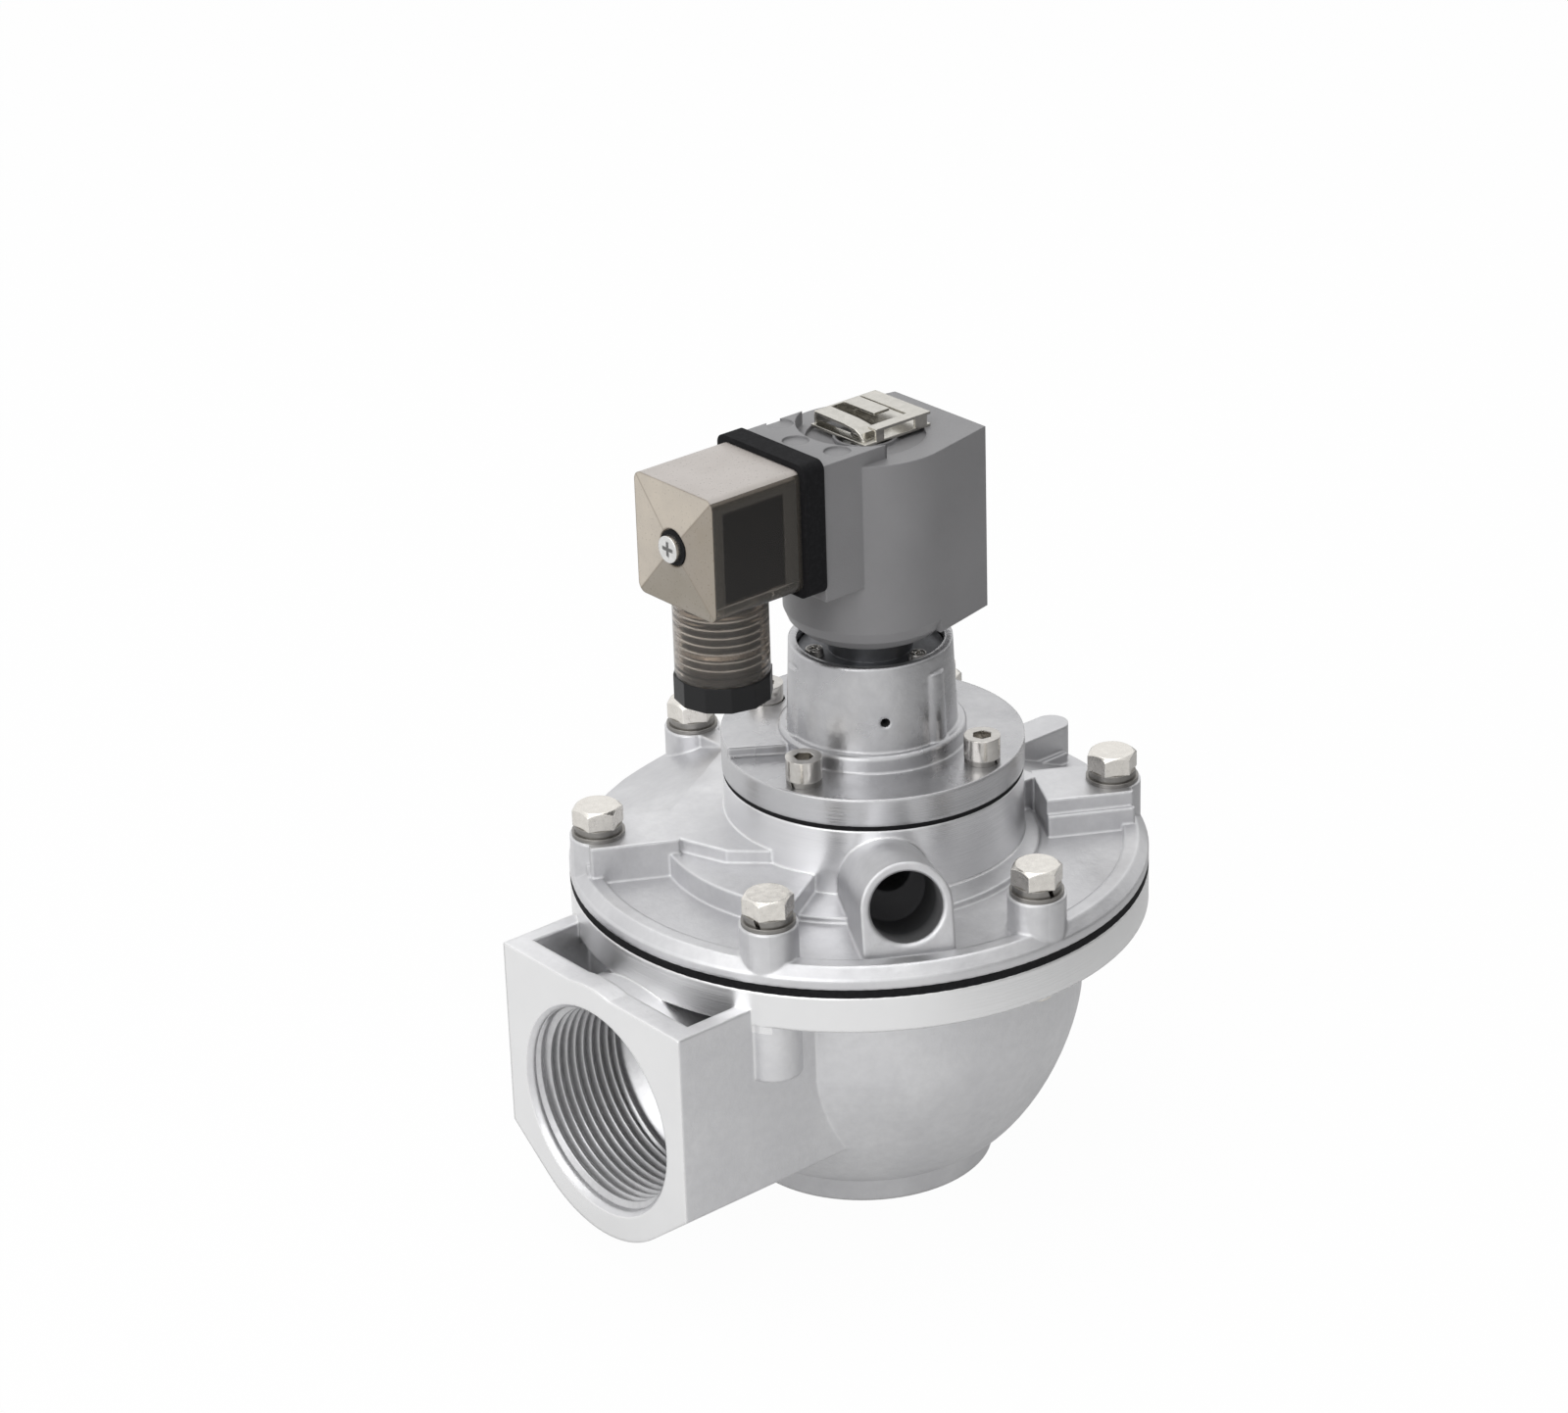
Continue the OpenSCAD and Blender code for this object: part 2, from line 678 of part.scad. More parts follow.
module rear_area() {
    edge = [-sin(pad_dirs[0]), cos(pad_dirs[0])] * (pad_half_w - 1);
    ray = [cos(pad_dirs[0]), sin(pad_dirs[0])];
    polygon([ray * reach + edge, ray * pad_start + edge, [-36, 3], [-29, -4], [0, -4],
             [36, -17], [reach, -17], [reach, reach], [-reach, reach]]);
}

module cover_plate() {
    intersection() {
        rotate_extrude($fn = 128)
            polygon([[0, cover_z], [flange_r, cover_z], [flange_r, deck_z - rim_slope],
                     [flange_r - rim_slope, deck_z], [0, deck_z]]);
        facet_room(60);
        facet_room(120);
    }
}

module front_pockets() {
    difference() {
        ring(pocket_r, step_r - 4, pocket_z, reach);
        translate([0, 0, pocket_z - 1]) linear_extrude(reach) rear_area();
    }
}

module rear_deck() {
    intersection() {
        translate([0, 0, cover_z]) linear_extrude(boss_h) rear_area();
        translate([0, 0, cover_z]) cylinder(r = flange_r - rim_slope - 0.1, h = boss_h);
        facet_room(0);
        facet_room(60);
        facet_room(120);
    }
}

module radial_bar(dir, d0, d1, w, z1) {
    rotate([0, 0, dir]) translate([d0, -w / 2, cover_z]) cube([d1 - d0, w, z1 - cover_z]);
}

module front_step() {
    difference() {
        translate([0, 0, cover_z]) cylinder(r = step_r, h = step_h);
        rotate([0, 0, -60]) translate([0, -reach, cover_z - 1]) cube([reach, 2 * reach, reach]);
    }
}

module at_exhaust() {
    rotate([0, 0, exhaust_dir]) translate([exhaust_reach, 0, exhaust_z])
        rotate([0, -exhaust_tilt, 0]) children();
}

// Round-topped block of the exhaust port, which rises towards its flat face
module exhaust_block() {
    intersection() {
        at_exhaust() union() {
            rotate([0, -90, 0]) cylinder(r = exhaust_out_r, h = exhaust_reach);
            translate([-exhaust_reach, -exhaust_out_r, -reach])
                cube([exhaust_reach, 2 * exhaust_out_r, reach]);
        }
        translate([0, 0, cover_z]) cylinder(r = flange_r - rim_slope, h = reach);
    }
}

module exhaust_bore() {
    duct_z = base_z - duct_r - 2.4;
    duct_start = recess_r + 2.5;
    at_exhaust() translate([-exhaust_depth, 0, 0]) rotate([0, 90, 0]) union() {
        cylinder(r = exhaust_r, h = exhaust_depth + 1);
        translate([0, 0, exhaust_depth - exhaust_chamfer])
            cylinder(r1 = exhaust_r, r2 = exhaust_r + exhaust_chamfer + 1, h = exhaust_chamfer + 1);
    }
    along(exhaust_dir, duct_z, duct_start, duct_r, exhaust_reach - exhaust_depth + 4 - duct_start);
}

module cover() {
    color("gainsboro") difference() {
        union() {
            difference() {
                cover_plate();
                front_pockets();
            }
            rear_deck();
            front_step();
            at_bolts() translate([0, 0, cover_z]) cylinder(r = boss_r, h = boss_h);
            for (a = pad_dirs)
                radial_bar(a, pad_start, bolt_circle_r + 3, 2 * pad_half_w, boss_z);
            radial_bar(pad_dirs[1], pad_start, bolt_circle_r + 3, 2 * pad_half_w + 2.8, pad_step_z);
            for (a = web_dirs) radial_bar(a, base_r - 6, bolt_circle_r, web_w, boss_z);
            translate([pilot_x, 0, cover_z]) cylinder(r = base_r, h = base_h, $fn = 128);
            translate([base_r, -rib_w / 2, cover_z])
                cube([rib_reach - rib_w / 2 - base_r, rib_w, rib_h]);
            translate([rib_reach - rib_w / 2, 0, cover_z]) cylinder(r = rib_w / 2, h = rib_h);
            translate([base_r, -rib_w / 2 - 1.6, cover_z])
                cube([rib_reach - rib_w / 2 - base_r, rib_w + 3.2, rib_h - 6]);
            exhaust_block();
        }
        at_bolts() translate([0, 0, cover_z - 1]) cylinder(r = bolt_hole_r, h = reach);
        translate([0, 0, cover_z - 1]) cylinder(r = recess_r, h = floor_under + 1);
        translate([pilot_x, 0, cover_z]) cylinder(r = relief_r, h = base_h);
        translate([pilot_x, 0, 0]) difference() {
            translate([0, 0, chamber_z]) cylinder(r = chamber_r, h = base_h);
            cylinder(r = relief_r + relief_wall, h = relief_z);
        }
        exhaust_bore();
        for (a = pilot_screws) translate([pilot_x, 0, 0]) rotate([0, 0, a])
            translate([pilot_screw_circle, 0, base_z - 9])
                cylinder(r = pilot_screw_r + thread_gap, h = reach);
    }
}

module cover_bolts() {
    flats = bolt_af / cos(30);
    color("lightgray") at_bolts() union() {
        translate([0, 0, bolt_head_z]) intersection() {
            cylinder(d = flats, h = bolt_head_h, $fn = 6);
            cylinder(r1 = flats / 2 + bolt_head_h, r2 = bolt_af / 2 - 0.3, h = bolt_head_h);
        }
        translate([0, 0, bolt_end_z]) cylinder(r = bolt_r, h = bolt_len + 1);
    }
}

module cover_spring_washers() {
    color("dimgray") at_bolts() difference() {
        ring(spring_washer_r, bolt_hole_r, boss_z + washer_t, spring_washer_t);
        translate([0, -0.5, boss_z]) rotate([20, 0, 0]) cube([reach, 1, 20]);
    }
}

module cover_flat_washers() {
    color("lightgray") at_bolts() ring(washer_r, bolt_hole_r, boss_z, washer_t);
}

module at_pilot() {
    translate([pilot_x, 0, 0]) children();
}

module at_pilot_screws() {
    at_pilot() for (a = pilot_screws) rotate([0, 0, a])
        translate([pilot_screw_circle, 0, 0]) children();
}

module pilot_diaphragm_rim() {
    color("#2b2b2d") difference() {
        at_pilot() ring(base_r, chamber_r, base_z, pilot_rim_t);
        at_pilot_screws() translate([0, 0, base_z - 1])
            cylinder(r = pilot_hole_r, h = pilot_rim_t + 2);
    }
}

module pilot_diaphragm_web() {
    outer = chamber_r - 1.4;
    inner = pilot_pad_r + 1.5;
    color("#2b2b2d") at_pilot() rotate_extrude()
        polygon([[rivet_r + thread_gap, relief_pad_z], [inner, relief_pad_z], [outer, base_z],
                 [chamber_r, base_z], [chamber_r, pilot_flange_z], [outer - 0.5, pilot_flange_z],
                 [inner - 0.5, pilot_plate_z], [rivet_r + thread_gap, pilot_plate_z]]);
}

module pilot_seal_pad() {
    color("#3a3a3c") at_pilot()
        ring(pilot_pad_r, rivet_r + thread_gap, relief_z, pilot_pad_t);
}

module pilot_support_plate() {
    color("silver") at_pilot()
        ring(pilot_pad_r - 0.5, rivet_r + thread_gap, pilot_plate_z, pilot_plate_t);
}

module pilot_rivet() {
    color("silver") at_pilot() union() {
        translate([0, 0, relief_z - rivet_head_t])
            cylinder(r = rivet_r, h = rivet_z - relief_z + 2 * rivet_head_t);
        translate([0, 0, relief_z - rivet_head_t]) cylinder(r = rivet_head_r, h = rivet_head_t);
        translate([0, 0, rivet_z]) cylinder(r = rivet_head_r, h = rivet_head_t);
    }
}

module pilot_spring() {
    color("lightgray") at_pilot()
        wire_spring(pilot_spring_r, pilot_wire, rivet_z, dome_z, 2.5);
}

// Raised pad on the flange behind the housing cylinder
module flange_pad() {
    intersection() {
        translate([0, 0, pilot_top_z - 1]) cylinder(r = pilot_flange_r, h = flange_pad_h + 1);
        translate([0, 0, pilot_top_z - 1]) linear_extrude(reach)
            polygon([[-8, -3.6], [-46, 22.7], [-46, 46], [12, 46], [12, 0]]);
    }
}

module pilot_housing() {
    color("gainsboro") difference() {
        union() {
            at_pilot() rotate_extrude()
                polygon([[0, pilot_flange_z], [pilot_flange_r, pilot_flange_z],
                         [pilot_flange_r, pilot_top_z], [tower_r + foot_w, pilot_top_z],
                         [tower_r + foot_w, pilot_top_z + foot_h - 0.6],
                         [tower_r + foot_w - 0.6, pilot_top_z + foot_h],
                         [tower_r, pilot_top_z + foot_h], [tower_top_r, tower_z], [0, tower_z]]);
            for (a = plate_screw_dirs) at_pilot() rotate([0, 0, a])
                translate([tower_r - 3.6, 0, pilot_top_z - 1])
                    cylinder(r1 = 4.7, r2 = 3.9, h = tower_h - 3);
            at_pilot() flange_pad();
        }
        at_pilot() translate([0, 0, pilot_flange_z - 1]) cylinder(r = chamber_r, h = dome_h + 1);
        at_pilot() translate([0, 0, dome_z - 1]) cylinder(r = orifice_r, h = reach);
        at_pilot() difference() {
            translate([0, 0, room_floor_z]) cylinder(r = room_r, h = reach);
            translate([0, 0, room_floor_z - 1])
                cylinder(r1 = 4, r2 = 2.6, h = armature_seat_z - room_floor_z + 1);
        }
        at_pilot() translate([0, 0, oring_z]) cylinder(r = oring_seat_r, h = reach);
        at_pilot() translate([0, 0, plate_z]) cylinder(r = cup_r, h = reach);
        at_pilot() along(vent_dir, vent_z, room_r - 1, vent_r, reach);
        at_pilot_screws() translate([0, 0, pilot_flange_z - 1])
            cylinder(r = pilot_hole_r, h = pilot_flange_t + 2);
        at_pilot_screws() translate([0, 0, pilot_top_z])
            cylinder(r = pilot_head_r + screw_gap, h = flange_pad_h + 1);
        for (a = plate_screw_dirs) at_pilot() rotate([0, 0, a])
            translate([plate_screw_circle, 0, plate_top_z - plate_screw_len - 1])
                cylinder(r = plate_screw_r + thread_gap, h = reach);
    }
}

module pilot_screws() {
    head_z = pilot_top_z + pilot_washer_t;
    color("lightgray") at_pilot_screws() difference() {
        union() {
            translate([0, 0, head_z]) cylinder(r = pilot_head_r, h = pilot_head_h);
            translate([0, 0, head_z - pilot_screw_len])
                cylinder(r = pilot_screw_r, h = pilot_screw_len + 1);
        }
        translate([0, 0, head_z + pilot_head_h - 2.6]) cylinder(r = 2.3, h = 4, $fn = 6);
    }
}

module pilot_spring_washers() {
    color("dimgray") at_pilot_screws() difference() {
        ring(pilot_washer_r, pilot_hole_r, pilot_top_z, pilot_washer_t);
        translate([0, -0.4, pilot_top_z - 1]) rotate([20, 0, 0]) cube([reach, 0.8, 10]);
    }
}

module tube_plate() {
    color("#4a4c50") at_pilot() difference() {
        union() {
            translate([0, 0, plate_z]) cylinder(r = tube_plate_r, h = tube_plate_t);
            translate([0, 0, plate_z]) cylinder(r = collar_r, h = tube_plate_t + collar_h);
        }
        translate([0, 0, plate_z - 1]) cylinder(r = tube_r + thread_gap, h = reach);
        for (a = plate_screw_dirs) rotate([0, 0, a]) translate([plate_screw_circle, 0, plate_z - 1])
            cylinder(r = plate_screw_r + screw_gap, h = tube_plate_t + 2);
    }
}

module tube_plate_screws() {
    color("silver") for (a = plate_screw_dirs) at_pilot() rotate([0, 0, a])
        translate([plate_screw_circle, 0, 0]) difference() {
            union() {
                translate([0, 0, plate_top_z])
                    cylinder(r1 = plate_head_r, r2 = plate_head_r - 0.4, h = plate_head_h);
                translate([0, 0, plate_top_z - plate_screw_len])
                    cylinder(r = plate_screw_r, h = plate_screw_len + 1);
            }
            for (turn = [0, 90]) rotate([0, 0, turn + 20])
                translate([-1.3, -0.3, plate_top_z + plate_head_h - 0.9]) cube([2.6, 0.6, 2]);
        }
}

module armature_tube() {
    color("silver") at_pilot() difference() {
        union() {
            translate([0, 0, tube_z]) cylinder(r = tube_r, h = tube_top_z - tube_z);
            translate([0, 0, tube_z]) cylinder(r = tube_flange_r, h = tube_flange_t);
        }
        translate([0, 0, tube_z - 1]) cylinder(r = tube_bore_r, h = reach);
    }
}

module tube_oring() {
    color("#202020") at_pilot() translate([0, 0, oring_z + oring_d / 2])
        rotate_extrude() translate([oring_mean_r, 0]) circle(d = oring_d, $fn = 24);
}

module fixed_core() {
    color("silver") at_pilot() difference() {
        union() {
            translate([0, 0, core_z])
                cylinder(r = tube_bore_r - thread_gap, h = tube_top_z - core_z + 1);
            translate([0, 0, tube_top_z]) cylinder(r = tube_r, h = core_cap_t);
            translate([0, 0, tube_top_z]) cylinder(r = stem_r, h = stem_z - tube_top_z);
            translate([0, 0, stem_z]) cylinder(r1 = stem_r, r2 = stem_r - 1.2, h = 0.6);
        }
        ring(stem_r + 1, stem_r - groove_depth, groove_z - 0.1, groove_h);
    }
}

module armature() {
    color("lightsteelblue") at_pilot() difference() {
        translate([0, 0, armature_z])
            cylinder(r = tube_bore_r - armature_gap, h = armature_len);
        translate([0, 0, armature_top_z - armature_bore_depth])
            cylinder(r = armature_spring_r + armature_wire, h = reach);
    }
}

module armature_seal() {
    color("#202020") at_pilot() translate([0, 0, armature_seat_z])
        cylinder(r = armature_seal_r, h = armature_seal_t);
}

module armature_spring() {
    color("lightgray") at_pilot() wire_spring(armature_spring_r, armature_wire,
        armature_top_z - armature_bore_depth, core_z, 6);
}

// Squared end of the coil, its sides tangent to the round part
module coil_tip() {
    turn = atan2(coil_half_w, coil_end) + acos(coil_r / norm([coil_end, coil_half_w]));
    side = coil_r * [cos(turn), sin(turn)];
    polygon([side, [coil_end, coil_half_w], [coil_end, -coil_half_w], [side[0], -side[1]]]);
}

module coil_outline() {
    union() {
        circle(coil_r, $fn = 96);
        coil_tip();
    }
}

module coil_body() {
    color("#737375") difference() {
        union() {
            at_pilot() rotate_extrude()
                polygon([[0, collar_z], [skirt_r, collar_z], [coil_r - 1, collar_z + skirt_h / 2],
                         [coil_r, collar_z + skirt_h], [coil_r, collar_z + skirt_h + 1],
                         [0, collar_z + skirt_h + 1]]);
            at_pilot() translate([0, 0, collar_z + skirt_h])
                linear_extrude(coil_h - skirt_h) coil_outline();
            at_pilot() translate([0, 0, collar_z + coil_tip_lift])
                linear_extrude(skirt_h) coil_tip();
            translate([face_x, -block_half_w, block_z - block_h])
                cube([block_reach, 2 * block_half_w, block_h]);
        }
        at_pilot() translate([0, 0, coil_z]) cylinder(r = coil_r - 4, h = reach);
        at_pilot() ring(ring_recess_r, stem_r + 4, coil_z - ring_recess_depth, reach);
        at_pilot() for (a = mark_dirs) rotate([0, 0, a])
            translate([mark_circle, 0, block_z - mark_depth]) cylinder(r = mark_r, h = reach);
        at_pilot() translate([0, 0, collar_z - 1]) cylinder(r = tube_r + coil_gap, h = reach);
        translate([face_x - 1, 0, plug_z]) rotate([0, 90, 0])
            cylinder(r = plug_screw_r + thread_gap, h = 7);
    }
}

module coil_blades() {
    color("silver") {
        for (side = [-1, 1])
            translate([face_x - blade_len, -blade_w / 2, plug_z + side * blade_off - blade_t / 2])
                cube([blade_len, blade_w, blade_t]);
        translate([face_x - blade_len, -blade_off - blade_t / 2, plug_z - blade_w / 2])
            cube([blade_len, blade_t, blade_w]);
    }
}

module plug_gasket() {
    w = 2 * (hood_half_w + plug_gasket_lip);
    h = hood_h + 2 * plug_gasket_lip;
    color("#1f1f21") difference() {
        translate([0, 0, plug_z]) x_prism(gasket_x, plug_gasket_t)
            rounded_square(w, h, hood_corner);
        translate([0, 0, plug_z]) x_prism(gasket_x - 1, plug_gasket_t + 2)
            square([2 * insert_half_w - 3, 2 * insert_half_h - 3], center = true);
    }
}

module at_terminals() {
    for (spot = terminal_spots)
        translate([insert_x, spot[0], plug_z + spot[1]]) rotate([0, 90, 0]) children();
}

module contact_insert() {
    slot = 2 * screw_gap;
    color("#1c1c1e") difference() {
        translate([0, 0, plug_z]) x_prism(insert_x, insert_len)
            rounded_square(2 * insert_half_w, 2 * insert_half_h, 1);
        translate([insert_x - 1, 0, plug_z]) rotate([0, 90, 0])
            cylinder(r = plug_screw_r + screw_gap, h = reach);
        at_terminals() translate([0, 0, -1])
            cylinder(r = terminal_r + thread_gap, h = terminal_depth + 1);
        for (side = [-1, 1])
            translate([face_x - blade_len - slot, -(blade_w + slot) / 2,
                       plug_z + side * blade_off - (blade_t + slot) / 2])
                cube([blade_len + 2, blade_w + slot, blade_t + slot]);
        translate([face_x - blade_len - slot, -blade_off - (blade_t + slot) / 2,
                   plug_z - (blade_w + slot) / 2])
            cube([blade_len + 2, blade_t + slot, blade_w + slot]);
    }
}

module terminal_screws() {
    head_h = 1.6;
    color("silver") at_terminals() difference() {
        union() {
            translate([0, 0, -head_h]) cylinder(r = terminal_head_r, h = head_h);
            translate([0, 0, -1]) cylinder(r = terminal_r, h = terminal_depth + 0.5);
        }
        translate([-0.3, -terminal_head_r, -head_h - 1]) cube([0.6, 2 * terminal_head_r, 1.7]);
    }
}

// Thread grooves inside the cable neck
module neck_grooves() {
    pitch = (neck_h - 3) / neck_turns;
    for (i = [0:neck_turns - 1])
        translate([neck_x, 0, neck_z + 1.5 + i * pitch]) rotate_extrude()
            polygon([[neck_bore_r - 1, 0], [neck_bore_r, 0], [neck_bore_r + 0.7, pitch / 2 - 0.2],
                     [neck_bore_r, pitch - 0.4], [neck_bore_r - 1, pitch - 0.4]]);
}

module plug_hood() {
    color("#8a7a66", 0.6) difference() {
        union() {
            translate([0, 0, plug_z]) x_prism(hood_x + 0.8, hood_len - 0.8)
                rounded_square(2 * hood_half_w, hood_h, hood_corner);
            translate([hood_x + 0.8, 0, plug_z]) hood_face();
            translate([neck_x, 0, neck_z]) cylinder(r = neck_r, h = neck_h + 1);
        }
        translate([0, 0, plug_z]) x_prism(hood_x + hood_wall, hood_len)
            rounded_square(2 * hood_in_w, 2 * hood_in_h, 1.2);
        translate([neck_x, 0, neck_z - 1]) cylinder(r = neck_bore_r, h = neck_h + hood_wall + 2);
        neck_grooves();
        translate([hood_x - 1, 0, plug_z]) rotate([0, 90, 0])
            cylinder(r = plug_screw_r + screw_gap, h = hood_wall + 2);
        translate([hood_x - 1, 0, plug_z]) rotate([0, 90, 0])
            cylinder(r = plug_head_r + 1.3, h = face_recess + 1);
    }
}

// Shallow four-sided point on the end of the hood
module hood_face() {
    w = hood_half_w - 0.6;
    h = hood_h / 2 - 0.6;
    polyhedron([[0, -w, -h], [0, w, -h], [0, w, h], [0, -w, h], [-0.8, 0, 0]],
               [[3, 2, 1, 0], [4, 0, 1], [4, 1, 2], [4, 2, 3], [4, 3, 0]]);
}

module plug_screw() {
    head_x = hood_x + face_recess - plug_seal_t;
    color("silver") translate([head_x, 0, plug_z]) rotate([0, 90, 0]) union() {
        translate([0, 0, -1.5]) cylinder(r = plug_head_r, h = 1.5);
        translate([0, 0, -0.5]) cylinder(r = plug_screw_r, h = face_x - head_x + 5);
    }
}

module plug_screw_seal() {
    color("#202020") translate([hood_x + face_recess - plug_seal_t, 0, plug_z])
        rotate([0, 90, 0]) ring(plug_head_r + 1, plug_screw_r + screw_gap, 0, plug_seal_t);
}

module gland_nut() {
    color("#202022") translate([neck_x, 0, 0]) difference() {
        union() {
            translate([0, 0, neck_z - gland_head_h])
                cylinder(r = gland_head_r, h = gland_head_h, $fn = 12);
            translate([0, 0, neck_z - 1]) cylinder(r = shank_r, h = gland_shank_h + 1);
        }
        translate([0, 0, neck_z - gland_head_h - 1]) cylinder(r = cable_hole_r, h = reach);
    }
}

module gland_washer() {
    color("silver") translate([neck_x, 0, 0])
        ring(shank_r, cable_hole_r, shank_z, gland_washer_t);
}

module gland_seal() {
    color("#303032") translate([neck_x, 0, 0])
        ring(shank_r, cable_hole_r - 0.4, seal_z, gland_seal_h);
}

// Strip that bends down over the stem to the base of the clip, as a side view
module clip_tongue() {
    under = clip_rise - clip_t;
    polygon([[clip_back, under], [clip_back, clip_rise], [2, clip_rise - 0.2],
             [-1.5, clip_rise - 0.6], [-3.2, clip_rise - 1.4], [-4.2, 0.9], [-4.6, 0], [-4, 0],
             [-3.7, 0.7], [-2.8, under - 1.3], [-1.3, under - 0.6], [2, under - 0.2]]);
}

module retaining_clip() {
    hole_r = stem_r - groove_depth + clip_gap;
    tongue_x = -clip_left + 1;
    right_x = clip_right - clip_strip_w;
    middle_x = right_x - clip_strip_w - 0.7;
    bar_x = tongue_x + clip_strip_w / 2;
    top_z = clip_rise - clip_t;
    color("lightgray") at_pilot() translate([0, 0, coil_z]) union() {
        difference() {
            translate([-clip_left, -clip_front, 0])
                cube([clip_left + clip_right, clip_front + clip_back, clip_t]);
            translate([0, 0, -1]) cylinder(r = hole_r, h = 4);
            translate([-hole_r, 0, -1]) cube([2 * hole_r, reach, 4]);
        }
        translate([tongue_x, clip_back - clip_t, 0])
            cube([clip_right - tongue_x, clip_t, clip_rise]);
        x_prism(tongue_x, clip_strip_w) clip_tongue();
        translate([middle_x, 1.6, top_z]) cube([clip_strip_w, clip_back - 1.6, clip_t]);
        translate([right_x, -clip_front, top_z])
            cube([clip_strip_w, clip_front + clip_back, clip_t]);
        translate([bar_x, -clip_front, top_z]) cube([clip_right - bar_x, 2.8, clip_t]);
        translate([bar_x, -clip_front, 0]) cube([clip_strip_w / 2, clip_t, clip_rise]);
        translate([right_x, -clip_front, 0]) cube([clip_strip_w - 1, clip_t, clip_rise]);
    }
}

valve_body();
main_diaphragm_rim();
main_diaphragm_web();
main_seal_pad();
main_support_plate();
main_clamp_screw();
main_clamp_nut();
main_spring();
cover();
cover_bolts();
cover_spring_washers();
cover_flat_washers();
pilot_diaphragm_rim();
pilot_diaphragm_web();
pilot_seal_pad();
pilot_support_plate();
pilot_rivet();
pilot_spring();
pilot_housing();
pilot_screws();
pilot_spring_washers();
tube_plate();
tube_plate_screws();
armature_tube();
tube_oring();
fixed_core();
armature();
armature_seal();
armature_spring();
coil_body();
coil_blades();
plug_gasket();
contact_insert();
terminal_screws();
plug_hood();
plug_screw();
plug_screw_seal();
gland_nut();
gland_washer();
gland_seal();
retaining_clip();
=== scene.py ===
import math

import bmesh
import bpy
from mathutils import Matrix, Vector


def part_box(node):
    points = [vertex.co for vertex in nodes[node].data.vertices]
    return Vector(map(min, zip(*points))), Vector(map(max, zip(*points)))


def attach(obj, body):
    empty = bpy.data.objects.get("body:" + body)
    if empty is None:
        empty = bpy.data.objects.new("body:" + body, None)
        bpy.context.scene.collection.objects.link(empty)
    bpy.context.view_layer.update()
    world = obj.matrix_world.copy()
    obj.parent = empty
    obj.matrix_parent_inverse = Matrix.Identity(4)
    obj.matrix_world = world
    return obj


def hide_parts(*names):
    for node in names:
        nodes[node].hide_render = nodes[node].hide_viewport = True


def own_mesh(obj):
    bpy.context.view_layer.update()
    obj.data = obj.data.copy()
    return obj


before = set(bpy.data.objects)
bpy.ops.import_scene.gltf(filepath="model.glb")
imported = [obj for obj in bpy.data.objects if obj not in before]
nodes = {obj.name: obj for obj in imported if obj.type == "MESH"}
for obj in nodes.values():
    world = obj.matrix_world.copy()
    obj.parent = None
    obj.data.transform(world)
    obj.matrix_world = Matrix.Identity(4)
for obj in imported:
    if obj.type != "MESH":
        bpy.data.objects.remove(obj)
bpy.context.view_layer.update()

MM = 0.001
X, Y, Z = 0, 1, 2


def extent(node, axis):
    """A node's lowest and highest coordinate on one axis, in millimetres to two places."""
    return [round(corner[axis] / MM, 2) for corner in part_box(node)]


# Places and sizes that the looks follow, in millimetres, from the frame
SEAT_R = extent("pilot_diaphragm_rim", Y)[1]
PILOT_X = extent("pilot_diaphragm_rim", X)[1] - SEAT_R
FLANGE_R = extent("cover", X)[1]
FLANGE_LOW_Z = 62
INLET_X = extent("valve_body", X)[0]
HOOD_HALF_W = extent("plug_hood", Y)[1]
HOOD_TOP_Z = extent("plug_hood", Z)[1]
HOOD_HALF_H = 14.0
PLUG_Z = HOOD_TOP_Z - HOOD_HALF_H
SCREW_HEAD_X = extent("plug_screw", X)[0]

# Bores of the castings, in millimetres and degrees
INLET_Z = 37.4
INLET_DEPTH = 25.0
INLET_LEAD = 1.0
OUTLET_DEPTH = 26.0
EXHAUST_TILT = 13
EXHAUST_TURN = 240
EXHAUST_REACH = 55.35
EXHAUST_Z = 87.9
EXHAUST_R = 8.1

# The hood's side window, as shares of the hood's length and of its half height
WINDOW_AT = 0.47
WINDOW_HALF = 0.34
WINDOW_HEIGHT = 0.76

# The hood's tones: the frosted faces with painted light and shade as the light meets each, the clear
# neck, the window, and painted shade in the front's folds
FROST_LEFT = (0.54, 0.485, 0.41)
FROST_RIGHT = (0.30, 0.26, 0.21)
FROST_LOW = (0.27, 0.24, 0.195)
FROST_TOP = (0.50, 0.465, 0.44)
FROST_STREAK = (0.36, 0.33, 0.30)
FROST_EDGE = (0.24, 0.20, 0.16)
FROST_FOLD = (0.2, 0.16, 0.12)
NECK_DARK = (0.50, 0.44, 0.38)
NECK_LIGHT = (0.60, 0.54, 0.48)
WINDOW_TONE = (0.16, 0.145, 0.13)
WINDOW_FRAME_TONE = (0.17, 0.155, 0.135)

# Pipe thread G 1 1/2, as the radii and the pitch of its ridge
THREAD_ROOT_R = 23.9
THREAD_CREST_R = 22.5
THREAD_PITCH = 2.309

# What moves, with its joint and its travel in millimetres
MAIN = {"joint": "main_diaphragm_lift", "stroke": 7.5, "body": "main_diaphragm"}
PILOT = {"joint": "pilot_diaphragm_lift", "stroke": 3.0, "body": "pilot_diaphragm"}
ARMATURE = {"joint": "armature_stroke", "stroke": 2.0, "body": "armature"}

# The camera of the photograph: it looks at a point on the outlet's axis, shifted to the left
AZIMUTH = -39.47
ELEVATION = 24.96
ROLL = -1.88
DISTANCE = 1005.5
AIM_Z = 111.1
AIM_LEFT = 15.87
FOCAL_PX = 4590.04
FRAME_PX = 1600
SENSOR_W = 36
